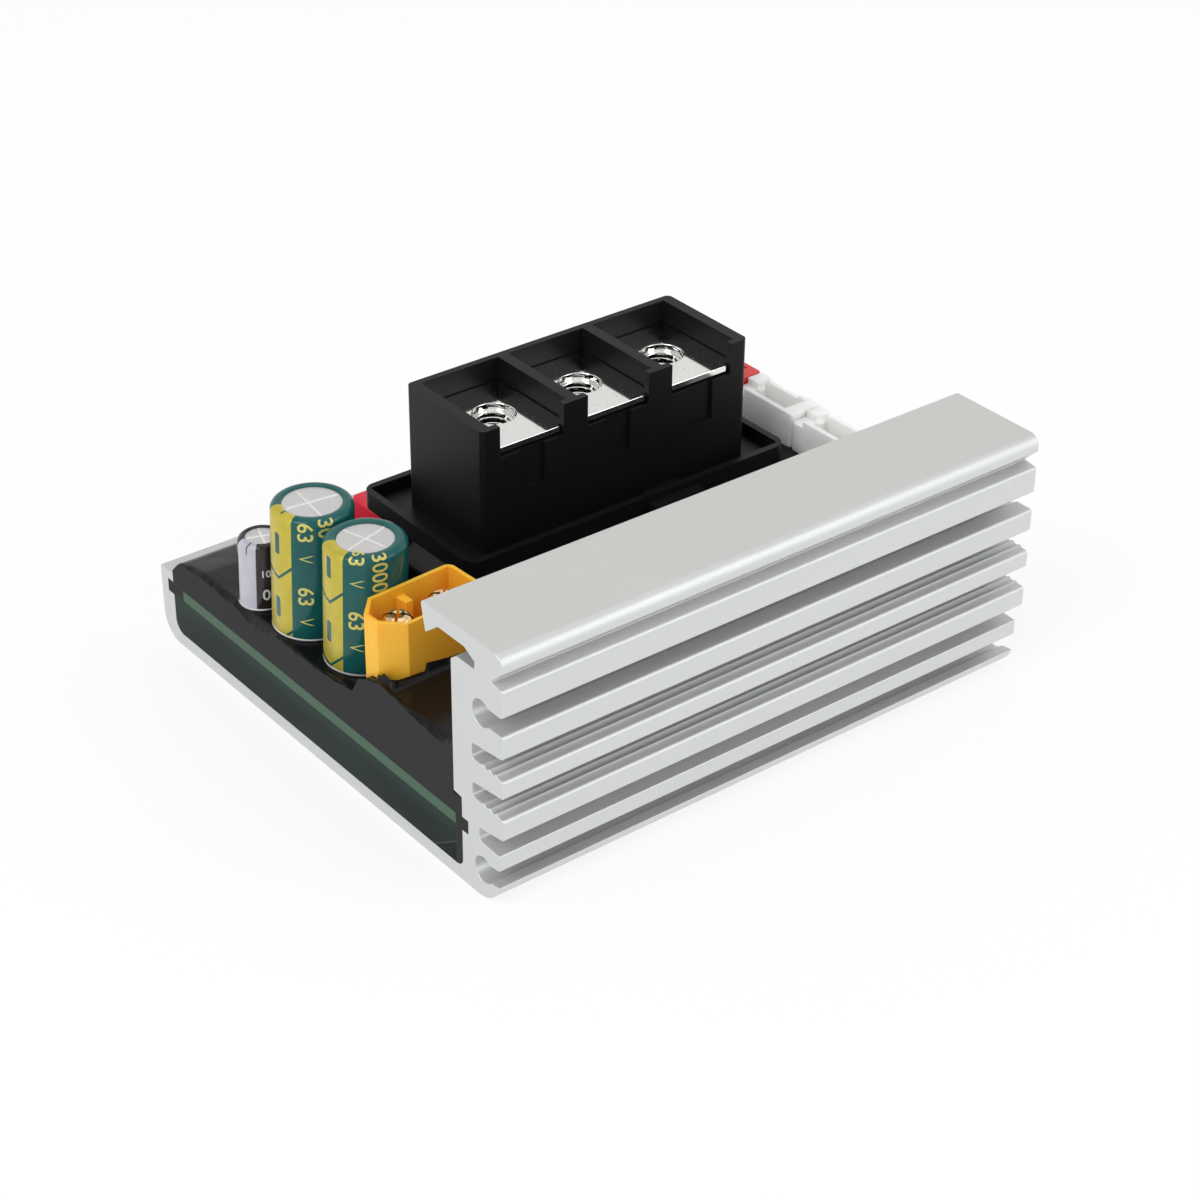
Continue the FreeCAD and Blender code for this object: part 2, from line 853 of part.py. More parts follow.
header_low_x = far_end - size.header_end_gap - size.header_depth
block_low_x = along(size.block_x)
block_high_x = header_low_x - size.block_end_gap
bay_room = block_high_x - block_low_x - 2 * size.block_end_wall
bay_length = (bay_room - 2 * size.bay_divider) / len(PHASES)
bay_step = bay_length + size.bay_divider
block_front = size.block_y
block_back = block_front + size.block_width
bay_front = block_front + size.block_front_wall
bay_back = block_back - size.block_back_wall
bay_floor = size.lug_top - size.lug_thickness
lug_hole_y = block_front + size.lug_hole_back
nut_half = size.nut_side / 2
leg_width = bay_length - size.leg_inset
leg_tail_width = leg_width / 2
transistor_length = bay_step - size.transistor_spacing


def bay_low(phase):
    """X of the near side of one bay."""
    return block_low_x + size.block_end_wall + (phase - 1) * bay_step


def bay_middle(phase):
    """X of the middle of one bay."""
    return bay_low(phase) + bay_length / 2


def window(phase):
    """X of both sides of the opening in front of one bay."""
    return (bay_low(phase) + size.post_cover_near,
            bay_low(phase) + bay_length - size.post_cover_far)


def terminal_block():
    """The black moulding: a foot in the resin, a tray with a moat, and three open bays."""
    piece = Piece("terminal_block")
    band_top = size.tray_band_bottom + size.tray_band_height
    plateau = band_top - size.tray_plateau_drop
    tray_low = (block_low_x - size.tray_margin_near, block_front - size.tray_margin_front)
    tray_high = (block_high_x + size.tray_margin_far, block_back + size.tray_margin_back)
    piece.pad(piece.rectangle("XY", size.tray_band_bottom, tray_low, tray_high), size.tray_band_height)
    corners = [(x, y) for x in (tray_low[0], tray_high[0]) for y in (tray_low[1], tray_high[1])]
    piece.round_along(2, corners, size.tray_corner)

    def inset(amount):
        low = (tray_low[0] + amount, tray_low[1] + amount)
        high = (tray_high[0] - amount, tray_high[1] - amount)
        return low, high

    moat_low, moat_high = inset(size.tray_rim)
    piece.pocket(piece.rectangle("XY", band_top, moat_low, moat_high),
                 size.tray_plateau_drop + size.tray_moat_depth)
    moat_floor = plateau - size.tray_moat_depth
    step_low, step_high = inset(size.tray_rim + size.tray_moat)
    piece.pad(piece.rectangle("XY", moat_floor, step_low, step_high), size.tray_moat_depth)

    ear = (block_low_x + size.ear_x, block_front - size.ear_y)
    piece.pad(piece.circles("XY", size.tray_band_bottom, [ear], size.ear_radius), size.ear_height)

    skirt_low = (block_low_x + size.skirt_inset, block_front + size.skirt_front_inset)
    skirt_high = (block_high_x - size.skirt_inset, bay_back + size.block_back_wall / 2)
    piece.pad(piece.rectangle("XY", board_top, skirt_low, skirt_high),
              size.tray_band_bottom - board_top)

    block_low = (block_low_x, block_front)
    block_high = (block_high_x, block_back)
    piece.pad(piece.rectangle("XY", plateau, block_low, block_high), size.block_top - plateau)
    corners = [(x, y) for x in (block_low[0], block_high[0]) for y in (block_low[1], block_high[1])]
    piece.round_along(2, corners, size.block_corner)

    slot_high = size.window_sill
    slot_low = slot_high - size.front_slot_height
    for phase in PHASES:
        low_x = bay_low(phase)
        high_x = low_x + bay_length
        middle = bay_middle(phase)
        bay = piece.rectangle("XY", size.block_top, (low_x, bay_front), (high_x, bay_back))
        piece.pocket(bay, size.block_top - bay_floor)
        near, far = window(phase)
        opening = piece.rectangle("XY", size.block_top, (near, block_front), (far, bay_front))
        piece.pocket(opening, size.block_top - size.window_sill)
        half = size.front_slot_width / 2
        centre = (near + far) / 2
        recess = piece.rectangle("XY", slot_high, (centre - half, block_front),
                                 (centre + half, block_front + size.front_slot_depth))
        piece.pocket(recess, slot_high - slot_low)
        half = nut_half + size.lug_clearance
        well = piece.rectangle("XY", bay_floor, (middle - half, lug_hole_y - half),
                               (middle + half, lug_hole_y + half))
        piece.pocket(well, size.well_depth)
        leg_half = leg_width / 2 + size.lug_clearance
        leg_front = bay_back - size.lug_thickness - 2 * size.lug_clearance
        passage = piece.rectangle("XY", bay_floor, (middle - leg_half, leg_front),
                                  (middle + leg_half, bay_back))
        piece.pocket(passage, bay_floor - board_top)
    return piece.done()


def phase_lug(phase):
    """A folded plate over a square nut, with a leg that goes down to the board."""
    piece = Piece("phase_lug_%d" % phase)
    middle = bay_middle(phase)
    near, far = window(phase)
    clear = size.lug_clearance
    low_x = bay_low(phase) + clear
    high_x = bay_low(phase) + bay_length - clear
    front = block_front + size.block_front_wall / 2
    plate_front = bay_front + clear
    back = bay_back - clear
    points = [
        (low_x, plate_front),
        (near + clear, plate_front),
        (near + clear, front),
        (far - clear, front),
        (far - clear, plate_front),
        (high_x, plate_front),
        (high_x, back),
        (low_x, back),
    ]
    piece.pad(piece.outline("XY", bay_floor, points), size.lug_thickness)
    piece.round_along(2, [(low_x, back), (high_x, back)], size.lug_corner)
    nut = piece.rectangle("XY", bay_floor, (middle - nut_half, lug_hole_y - nut_half),
                          (middle + nut_half, lug_hole_y + nut_half))
    piece.pad(nut, size.nut_height, back=True)
    hole = piece.circles("XY", size.lug_top, [(middle, lug_hole_y)], size.lug_hole_radius)
    piece.pocket(hole, size.lug_thickness)
    bore = piece.circles("XY", bay_floor, [(middle, lug_hole_y)], size.nut_thread_radius)
    piece.pocket(bore, size.nut_height)
    leg_front = back - size.lug_thickness
    leg = piece.rectangle("XY", bay_floor, (middle - leg_width / 2, leg_front),
                          (middle + leg_width / 2, back))
    piece.pad(leg, bay_floor - board_top, back=True)
    tail = piece.rectangle("XY", board_top, (middle - leg_tail_width / 2, leg_front),
                           (middle + leg_tail_width / 2, back))
    piece.pad(tail, size.board_thickness + size.lead_tail, back=True)
    piece.done()

    gap = size.drill_clearance
    hole = box("phase_lug_%d_hole" % phase,
               (middle - leg_tail_width / 2 - gap, leg_front - gap, tail_bottom),
               (middle + leg_tail_width / 2 + gap, back + gap, board_top))
    return piece.body, hole


def signal_header(name, low_y, length, pins):
    """An upright open shell with a low stretch in its far wall and a row of square pins."""
    low = (header_low_x, low_y)
    high = (header_low_x + size.header_depth, low_y + length)
    shell = Piece(name)
    shell.pad(shell.rectangle("XY", board_top, low, high), size.header_top - board_top)
    corners = [(x, y) for x in (low[0], high[0]) for y in (low[1], high[1])]
    shell.round_along(2, corners, size.header_corner)
    room_low = (low[0] + size.header_wall, low[1] + size.header_end_wall)
    room_high = (high[0] - size.header_wall, high[1] - size.header_end_wall)
    room = shell.rectangle("XY", size.header_top, room_low, room_high)
    shell.pocket(room, size.header_top - size.header_floor)
    middle_x = (low[0] + high[0]) / 2
    middle_y = low_y + length / 2
    dip = shell.rectangle("XY", size.header_top, (room_high[0], low[1] + size.far_wall_low_post),
                          (high[0], high[1] - size.far_wall_high_post))
    shell.pocket(dip, size.far_wall_drop)
    step = shell.rectangle("XY", size.header_top, (low[0], room_high[1]), (middle_x, high[1]))
    shell.pocket(step, size.header_end_step)
    rib = (middle_x + size.header_rib_shift, room_high[1])
    rib_height = size.header_top - size.header_end_step - size.header_floor
    shell.pad(shell.circles("XY", size.header_floor, [rib], size.header_rib_radius), rib_height)

    half = size.header_pin / 2
    rows = []
    holes = []
    gap = size.drill_clearance
    for index in range(pins):
        y = middle_y + (index - (pins - 1) / 2) * size.header_pin_pitch
        pin_top = size.header_floor + size.header_pin_height
        pin = box("%s_pin_%d" % (name, index + 1), (middle_x - half, y - half, tail_bottom),
                  (middle_x + half, y + half, pin_top))
        hole = box("%s_hole_%d" % (name, index + 1), (middle_x - half - gap, y - half - gap, tail_bottom),
                   (middle_x + half + gap, y + half + gap, board_top))
        rows.append(pin)
        holes.append(hole)
    group(name + "_pins", rows)
    shell.body.Label = name + "_blank"
    envelope = box(name + "_envelope", (low[0], low[1], board_top), (high[0], high[1], size.header_top))
    return without(name, shell.body, rows), rows, holes, envelope


def film_capacitor():
    """A moulded box with rounded corners and two leads."""
    low = (along(size.film_x), size.film_y)
    high = (low[0] + size.film_length, low[1] + size.film_width)
    piece = Piece("film_capacitor")
    piece.pad(piece.rectangle("XY", board_top, low, high), size.film_top - board_top)
    corners = [(x, y) for x in (low[0], high[0]) for y in (low[1], high[1])]
    piece.round_along(2, corners, size.film_corner)
    wires = can_leads("film_capacitor_lead", (low[0] + high[0]) / 2, (low[1] + high[1]) / 2,
                      size.film_lead_pitch, size.film_lead_radius, board_top)
    piece.done()
    group("film_capacitor_leads", wires)
    return piece.body, wires


def power_transistor(name, x, y):
    """A power package on the board's underside: body, soldered tab and two leads."""
    piece = Piece(name)
    half = size.transistor_width / 2
    body_bottom = board_bottom - size.transistor_height
    low = (x, y - half)
    high = (x + transistor_length, y + half)
    piece.pad(piece.rectangle("XY", body_bottom, low, high), size.transistor_height)
    tab_low = (x - size.transistor_tab_length, y - half)
    piece.pad(piece.rectangle("XY", board_bottom, tab_low, (x, y + half)), size.transistor_tab, back=True)
    lead_low = x + transistor_length
    lead_half = size.transistor_lead_width / 2
    for side in (-1, 1):
        middle = y + side * size.transistor_lead_pitch
        lead = piece.rectangle("XY", board_bottom, (lead_low, middle - lead_half),
                               (lead_low + size.transistor_lead_length, middle + lead_half))
        piece.pad(lead, size.transistor_lead_thickness, back=True)
    return piece.body


def power_stage():
    """Six transistors in two rows, and the soft pad that carries their heat to the floor."""
    rows = []
    for name, row in (("high_side", size.high_side_y), ("low_side", size.low_side_y)):
        members = []
        for phase in PHASES:
            x = bay_low(phase) + size.transistor_shift
            members.append(power_transistor("%s_transistor_%d" % (name, phase), x, row))
        rows.append(group(name + "_transistors", members))
    margin = size.thermal_pad_margin
    half = size.transistor_width / 2
    low_x = bay_low(PHASES[0]) + size.transistor_shift - margin
    high_x = bay_low(PHASES[-1]) + size.transistor_shift + transistor_length + margin
    low = (low_x, size.low_side_y - half - margin, size.floor_thickness)
    high = (high_x, size.high_side_y + half + margin, board_bottom - size.transistor_height)
    pad = box("thermal_pad", low, high)
    nodes.append(pad)
    return rows + [pad]


def chip(name, x, y, length, width, height):
    """A flat moulded package on top of the board."""
    piece = Piece(name)
    low = (x, y)
    high = (x + length, y + width)
    piece.pad(piece.rectangle("XY", board_top, low, high), height)
    corners = [(cx, cy) for cx in (low[0], high[0]) for cy in (low[1], high[1])]
    piece.bevel_along(2, corners, size.chip_edge)
    return piece


def small_parts():
    """What sits on top of the board under the resin."""
    parts = []
    drivers = []
    shunts = []
    for phase in PHASES:
        drivers.append(chip("gate_driver_%d" % phase, bay_low(phase) + size.driver_shift, size.driver_y,
                            size.driver_length, size.driver_width, size.driver_height).body)
        shunts.append(chip("shunt_%d" % phase, bay_low(phase) + size.shunt_shift, size.shunt_y,
                           size.shunt_length, size.shunt_width, size.shunt_height).body)
    parts.append(group("gate_drivers", drivers))
    parts.append(group("shunt_resistors", shunts))
    parts.append(chip("processor", along(size.processor_x), size.processor_y,
                      size.processor_side, size.processor_side, size.processor_height).done())
    parts.append(chip("inductor", along(size.inductor_x), size.inductor_y,
                      size.inductor_side, size.inductor_side, size.inductor_height).done())
    parts.append(chip("regulator", along(size.regulator_x), size.regulator_y,
                      size.regulator_length, size.regulator_width, size.regulator_height).done())
    return parts


def circuit_board(holes):
    """The board in its two slots, with rounded corners and a hole for every lead."""
    blank = Piece("circuit_board_blank")
    low = (near_end + size.board_end_gap, tall_slot_root + size.board_side_gap)
    high = (far_end - size.board_end_gap, low_slot_root - size.board_side_gap)
    blank.pad(blank.rectangle("XY", board_bottom, low, high), size.board_thickness)
    corners = [(x, y) for x in (low[0], high[0]) for y in (low[1], high[1])]
    blank.round_along(2, corners, size.board_corner)
    without("circuit_board", blank.body, holes)
    return blank.body


def underfill_blank():
    """The resin between the board and the floor, before the room for other pieces is cut."""
    piece = Piece("underfill_blank")
    low_y = foot_inside + size.resin_rim
    corner = (low_wall_inside, size.floor_thickness)
    points = [(low_y, size.floor_thickness), corner,
              (low_wall_inside, board_bottom), (low_y, board_bottom)]
    piece.pad(piece.outline("YZ", near_end, points), size.housing_length)
    piece.round_along(0, [corner], size.low_wall_fillet)
    return piece.body


def potting_blank():
    """The resin above and beside the board, before the room for other pieces is cut."""
    piece = Piece("potting_blank")
    edge_foot = size.low_wall_height + size.resin_edge_rise
    low_corner = (low_wall_inside, size.floor_thickness)
    foot_corner = (foot_inside, size.floor_thickness)
    points = [
        foot_corner,
        low_corner,
        (low_wall_inside, size.slot_floor),
        (low_slot_root, size.slot_floor),
        (low_slot_root, slot_top),
        (low_wall_inside, slot_top),
        (low_wall_inside, edge_foot),
        (low_wall_inside - size.resin_edge_in, edge_foot + size.resin_edge_up),
        (low_wall_inside - size.resin_shoulder_in, edge_foot + size.resin_shoulder_up),
        (low_wall_inside - size.resin_crown_in, size.resin_top),
        (size.resin_bank_foot, size.resin_top),
        (size.resin_bank_edge, size.resin_high),
        (tall_inside, size.resin_high),
        (tall_inside, step_top),
        (foot_inside, size.wall_step_height),
        (foot_inside, slot_top),
        (tall_slot_root, slot_top),
        (tall_slot_root, size.slot_floor),
        (foot_inside, size.slot_floor),
    ]
    piece.pad(piece.outline("YZ", near_end, points), size.housing_length)
    piece.round_along(0, [low_corner], size.low_wall_fillet)
    piece.round_along(0, [foot_corner], size.tall_wall_fillet)
    bank_root = size.resin_top - size.board_thickness
    bank_x = along(size.resin_bank_x)
    points = [
        (bank_x - size.resin_bank_run, bank_root),
        (far_end, bank_root),
        (far_end, size.resin_high),
        (bank_x, size.resin_high),
        (bank_x - size.resin_bank_run, size.resin_top),
    ]
    bank_back = size.resin_bank_y
    piece.pad(piece.outline("XZ", -bank_back, points), bank_back - tall_inside)
    return piece.body


def resins(board_blank, sunk, hidden):
    """Both resins, each with room for whatever it surrounds."""
    blank = underfill_blank()
    without("underfill_resin", blank, hidden)
    recesses = []
    window_low = foot_inside + size.resin_rim
    window_high = low_wall_inside - size.board_corner
    ends = ((near_end, near_end + size.board_end_gap), (far_end - size.board_end_gap, far_end))
    for index, (low_x, high_x) in enumerate(ends, start=1):
        recesses.append(box("board_end_%d" % index, (low_x, window_low, board_bottom),
                            (high_x, window_high, board_top)))
    upper = potting_blank()
    without("potting_resin", upper, [blank, board_blank] + recesses + sunk)


def build():
    """Every piece in turn, the resins last because they surround the others."""
    heatsink_housing()
    sunk = []
    tails = []
    holes = []
    large = size.large_can_radius
    capacitors = (
        ("large_capacitor_1", size.first_large_x, size.first_large_y, large,
         size.first_large_top, size.large_lead_pitch),
        ("large_capacitor_2", size.second_large_x, size.second_large_y, large,
         size.second_large_top, size.large_lead_pitch),
        ("small_capacitor", size.small_x, size.small_y, size.small_can_radius,
         size.small_top, size.small_lead_pitch),
    )
    for name, x, y, radius, top, pitch in capacitors:
        can, wires = capacitor(name, along(x), y, radius, top, pitch)
        standing = rod(name + "_room", along(x), y, board_top + size.can_standoff,
                       size.resin_top + size.sleeve_foot, radius)
        sunk += [standing] + wires
        tails += wires
        holes += drills(wires, size.drill_clearance)
    shell, pins, pin_holes = battery_socket()
    sunk += [shell] + pins
    tails += pins
    holes += pin_holes
    terminal_block()
    for phase in PHASES:
        lug, hole = phase_lug(phase)
        tails.append(lug)
        holes.append(hole)
    sunk.append(box("skirt_room", (block_low_x + size.skirt_inset, block_front + size.skirt_front_inset,
                                   board_top),
                    (block_high_x - size.skirt_inset, bay_back + size.block_back_wall / 2,
                     size.tray_band_bottom)))
    low_y = size.first_header_y
    for name, length, count in (("signal_header_white_2", size.white_header_length, 3),
                                ("signal_header_white_1", size.white_header_length, 3),
                                ("signal_header_red", size.red_header_length, 2)):
        header, rows, pin_holes, envelope = signal_header(name, low_y, length, count)
        sunk.append(envelope)
        tails += rows
        holes += pin_holes
        low_y = low_y + length + size.header_gap
    film, wires = film_capacitor()
    sunk.append(film)
    tails += wires
    holes += drills(wires, size.drill_clearance)
    hidden = power_stage() + tails
    sunk += small_parts()
    resins(circuit_board(holes), sunk, hidden)


def check():
    """Stop if any object failed or any node has no valid solid."""
    doc.recompute()
    for thing in doc.Objects:
        if "Invalid" in thing.State or "Error" in thing.State:
            raise RuntimeError("%s failed: %s" % (thing.Name, thing.State))
    for node in nodes:
        shape = node.Shape
        if shape.isNull() or not shape.isValid() or not shape.Solids:
            raise RuntimeError("%s has no valid solid" % node.Label)


def write():
    """One file for each node."""
    os.makedirs("parts", exist_ok=True)
    for node in nodes:
        node.Shape.exportStep("parts/%s.step" % node.Label)


build()
check()
write()
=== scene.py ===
import bpy
import bmesh
import math
from mathutils import Matrix, Vector, noise


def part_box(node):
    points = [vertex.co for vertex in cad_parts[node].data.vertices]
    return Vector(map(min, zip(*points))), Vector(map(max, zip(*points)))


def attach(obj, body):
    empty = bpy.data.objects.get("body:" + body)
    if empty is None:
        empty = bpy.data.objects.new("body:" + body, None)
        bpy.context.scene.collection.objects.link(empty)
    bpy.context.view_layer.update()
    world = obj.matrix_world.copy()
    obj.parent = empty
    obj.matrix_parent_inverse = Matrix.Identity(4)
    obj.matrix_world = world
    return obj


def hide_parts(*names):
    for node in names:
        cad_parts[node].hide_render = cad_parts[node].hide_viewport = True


# Motor controller: a finned aluminium extrusion that holds a potted circuit board.
# Positions are millimetres in the part's own frame: X runs along the extrusion and Y from the
# fins to the low wall, both from the middle, and Z runs up from the underside. MM turns them
# into metres.

MM = 0.001
# How close counts as being at a place, and how close points have to be to become one
NEAR = 0.05
SAME_POINT = 0.0005
HALF_LENGTH = 43.0
HALF_WIDTH = 39.3

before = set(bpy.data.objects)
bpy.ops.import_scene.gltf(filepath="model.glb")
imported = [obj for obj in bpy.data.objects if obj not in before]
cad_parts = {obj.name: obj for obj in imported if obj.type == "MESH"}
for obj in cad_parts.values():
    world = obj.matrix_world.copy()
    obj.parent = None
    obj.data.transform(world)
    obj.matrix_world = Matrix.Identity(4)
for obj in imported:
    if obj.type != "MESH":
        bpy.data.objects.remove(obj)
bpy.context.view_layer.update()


# Shader sums

class Field:
    """A number that changes over a surface. Sums on it add the nodes that work it out."""

    def __init__(self, finish, socket):
        self.finish = finish
        self.socket = socket

    def maths(self, operation, *values):
        node = self.finish.add("ShaderNodeMath", {"operation": operation}, dict(enumerate(values)))
        return Field(self.finish, node.outputs[0])

    def __add__(self, other):
        return self.maths("ADD", self, other)

    __radd__ = __add__

    def __sub__(self, other):
        return self.maths("SUBTRACT", self, other)

    def __rsub__(self, other):
        return self.maths("SUBTRACT", other, self)

    def __mul__(self, other):
        return self.maths("MULTIPLY", self, other)

    __rmul__ = __mul__

    def size(self):
        return self.maths("ABSOLUTE", self)

    def lesser(self, other):
        return self.maths("MINIMUM", self, other)

    def greater(self, other):
        return self.maths("MAXIMUM", self, other)

    def folded(self, period):
        """Distance from the nearest multiple of the period."""
        return self.maths("PINGPONG", self, period / 2)

    def rising(self, low, high):
        """Goes smoothly from 0 at low to 1 at high."""
        settings = {"interpolation_type": "SMOOTHSTEP"}
        limits = {0: self, 1: low, 2: high, 3: 0.0, 4: 1.0}
        node = self.finish.add("ShaderNodeMapRange", settings, limits)
        return Field(self.finish, node.outputs[0])

    def inside(self, edge, soft):
        """1 where the number is under the edge, 0 over it, with a soft step between."""
        return 1 - self.rising(edge - soft, edge + soft)


class Finish:
    """One procedural material, with millimetre coordinates."""

    def __init__(self, name, **constants):
        self.material = bpy.data.materials.new(name)
        self.material.use_nodes = True
        self.tree = self.material.node_tree
        self.tree.nodes.clear()
        self.shader = self.add("ShaderNodeBsdfPrincipled", {}, constants)
        output = self.add("ShaderNodeOutputMaterial", {}, {"Surface": self.shader.outputs[0]})
        output.is_active_output = True
        self.here = self.add("ShaderNodeTexCoord", {}, {}).outputs["Object"]
        place = self.stretched((1, 1, 1))
        parts = self.add("ShaderNodeSeparateXYZ", {}, {0: place})
        self.x, self.y, self.z = (Field(self, socket) for socket in parts.outputs)
        turned = self.add("ShaderNodeNewGeometry", {}, {}).outputs["Normal"]
        facing = self.add("ShaderNodeSeparateXYZ", {}, {0: turned})
        self.faces_x = Field(self, facing.outputs["X"])
        self.faces_z = Field(self, facing.outputs["Z"])

    def add(self, kind, settings, inputs):
        """Makes one node: its settings first, then the value or link of each socket."""
        node = self.tree.nodes.new(kind)
        for name, value in settings.items():
            setattr(node, name, value)
        for name, value in inputs.items():
            if isinstance(value, Field):
                value = value.socket
            if isinstance(value, bpy.types.NodeSocket):
                self.tree.links.new(value, node.inputs[name])
            elif isinstance(value, tuple) and len(value) == 3 and node.inputs[name].type == "RGBA":
                node.inputs[name].default_value = value + (1.0,)
            else:
                node.inputs[name].default_value = value
        return node

    def stretched(self, stretch):
        """Coordinates in millimetres, times a factor along each axis."""
        scale = tuple(factor / MM for factor in stretch)
        node = self.add("ShaderNodeVectorMath", {"operation": "MULTIPLY"}, {0: self.here, 1: scale})
        return node.outputs[0]

    def noise(self, scale, detail=2.0, stretch=(1, 1, 1), rough=0.5):
        """Noise from 0 to 1, drawn out along an axis where the stretch is small."""
        inputs = {"Vector": self.stretched(stretch), "Scale": scale, "Detail": detail,
                  "Roughness": rough}
        return Field(self, self.add("ShaderNodeTexNoise", {}, inputs).outputs["Fac"])

    def blend(self, low, high, factor):
        """A colour between two, from low at 0 to high at 1."""
        node = self.add("ShaderNodeMix", {"data_type": "RGBA"}, {0: factor, 6: low, 7: high})
        return node.outputs[2]

    def relief(self, height, depth, strength=1.0):
        """Fine relief, depth in millimetres for a height of 1."""
        inputs = {"Height": height, "Distance": depth * MM, "Strength": strength}
        bump = self.add("ShaderNodeBump", {}, inputs)
        self.paint(Normal=bump.outputs[0])

    def paint(self, **inputs):
        """Sets or links inputs of the shader, with an underscore for each space in a name."""
        for name, value in inputs.items():
            name = name.replace("_", " ")
            if isinstance(value, Field):
                value = value.socket
            if isinstance(value, bpy.types.NodeSocket):
                self.tree.links.new(value, self.shader.inputs[name])
            else:
                self.shader.inputs[name].default_value = value


# Finishes

# The underfill's seam runs where Z + SEAM_SLOPE * (Y - SEAM_Y) is SEAM_LEVEL
SEAM_Y = -29.8
SEAM_SLOPE = 0.675
SEAM_LEVEL = 5.3
# Thickness of one woven layer of the board
LAYER = 0.4
# The capacitors lean this much per millimetre of height, to the camera's right
LEAN = 0.035
ASIDE = (math.cos(math.radians(-38.4)), math.sin(math.radians(-38.4)))
# Direction from a can to the camera, seen from above
CAMERA_SIDE = math.radians(231.6)
# Prints on the sleeves, in millimetres of arc or of height. The two that end in ROUND are the
# squares of corner radii.
STRIPE_HALF = 2.45
DASH_PERIOD = 9.36
DASH_HALF_WIDTH = 0.15
DASH_HALF_HEIGHT = 1.2
DASH_ROUND = 0.11
CHEVRON_DROP = 5.0
CHEVRON_MIDDLE = 0.25
CHEVRON_HALF = 0.24
SMALL_STRIPE_HALF = 1.58
OUTLINE_SIDE = 1.1
OUTLINE_TOP = 23.6
OUTLINE_FOOT = 22.8
OUTLINE_ROUND = 0.757


def anodised_extrusion():
    """Fine-blasted, clear-anodised aluminium with faint die lines along X and sawn ends."""
    finish = Finish("anodised_extrusion", Metallic=0.55)
    end = finish.faces_x.size().rising(0.8, 0.95)
    die_lines = finish.noise(5.0, 3.0, (0.012, 1.0, 1.0), 0.65)
    grain = finish.noise(9.0, 2.0)
    sawn = finish.noise(3.0, 3.0, (1.0, 0.15, 1.4), 0.6)
    broad = finish.noise(0.06, 2.0)
    line_mix = die_lines * (1 - end) + sawn * end
    tone = line_mix * 0.3 + grain * 0.45 + broad * 0.25
    # Painted shade: faces that look up get a darker, warmer copy of the colour than upright faces
    upright = finish.blend((0.572, 0.586, 0.584), (0.676, 0.690, 0.688), tone)
    level = finish.blend((0.560, 0.560, 0.544), (0.655, 0.655, 0.638), tone)
    colour = finish.blend(upright, level, finish.faces_z.rising(0.9, 1.0))
    sparkle = grain.rising(0.60, 0.72)
    rough = 0.40 - sparkle * 0.14 + line_mix * 0.1 + end * 0.1
    finish.paint(Base_Color=colour, Roughness=rough)
    finish.relief(line_mix * 0.5 + grain * 0.6, 0.012, 0.4)
    return finish.material


def potting_compound():
    """Black resin: glossy where it levelled itself, matt grey on the cast end faces."""
    finish = Finish("potting_compound", **{"Specular IOR Level": 0.22})
    end = finish.x.size().rising(HALF_LENGTH - 0.06, HALF_LENGTH - 0.02)
    grain = finish.noise(7.0, 3.0)
    mottle = finish.noise(0.35, 3.0)
    ripple = finish.noise(0.22, 2.0)
    cast = finish.blend((0.018, 0.018, 0.019), (0.028, 0.028, 0.030), grain * 0.4 + mottle * 0.6)
    gloss = finish.blend((0.003, 0.003, 0.003), (0.007, 0.007, 0.008), mottle)
    finish.paint(Base_Color=finish.blend(gloss, cast, end),
                 Roughness=(0.17 + mottle * 0.14) * (1 - end) + end * (0.66 + grain * 0.2))
    finish.relief(ripple * (1 - end) + grain * end * 0.06, 0.07, 0.6)
    return finish.material


def clear_underfill():
    """Dark-green glossy resin: painted reflection bands, a painted glow under the board, and
    painted shade below a seam at one corner.
    """
    finish = Finish("clear_underfill", **{"Specular IOR Level": 0.05})
    # Painted reflection bands: blotches drawn out along Y lighten the green, and they also vary the
    # roughness
    cloud = finish.noise(0.07, 2.0, (1.0, 0.45, 1.6))
    specks = finish.noise(2.5, 4.0)
    # Painted glow: the green lightens towards the board's underside
    glow = finish.z.rising(5.2, 7.9)
    colour = finish.blend((0.004, 0.011, 0.010), (0.014, 0.026, 0.023), cloud.rising(0.3, 0.75))
    lit = finish.blend(colour, (0.020, 0.042, 0.032), glow * 0.6)
    speck_mask = specks.rising(0.70, 0.74)
    corner = finish.z + (finish.y - SEAM_Y) * SEAM_SLOPE
    seam = (corner - SEAM_LEVEL).size().inside(0.06, 0.04) * 0.6
    clouded = finish.blend(lit, (0.09, 0.13, 0.115), speck_mask * 0.5)
    # Painted shade: below the seam line the colour drops to near black
    shaded = corner.inside(SEAM_LEVEL, 0.05) * 0.8
    cornered = finish.blend(clouded, (0.004, 0.006, 0.006), shaded)
    finish.paint(Base_Color=finish.blend(cornered, (0.10, 0.13, 0.12), seam),
                 Roughness=0.12 + cloud * 0.12)
    finish.relief(finish.noise(0.3, 2.0), 0.03, 0.4)
    return finish.material


def board_laminate():
    """Glass-fibre laminate: pale green woven layers at the sawn edge, solder mask on the faces."""
    finish = Finish("board_laminate", **{"Specular IOR Level": 0.3})
    flat = finish.faces_z.size().rising(0.5, 0.8)
    layers = finish.z.folded(LAYER) * (2 / LAYER)
    fibres = finish.noise(1.6, 3.0, (1.0, 0.4, 3.0), 0.6)
    edge = finish.blend((0.026, 0.074, 0.040), (0.064, 0.130, 0.078), layers * 0.2 + fibres * 0.8)
    mask = finish.blend((0.008, 0.060, 0.026), (0.012, 0.085, 0.040), fibres)
    finish.paint(Base_Color=finish.blend(edge, mask, flat), Roughness=0.5 - flat * 0.2)
    finish.relief(fibres, 0.01, 0.4)
    return finish.material


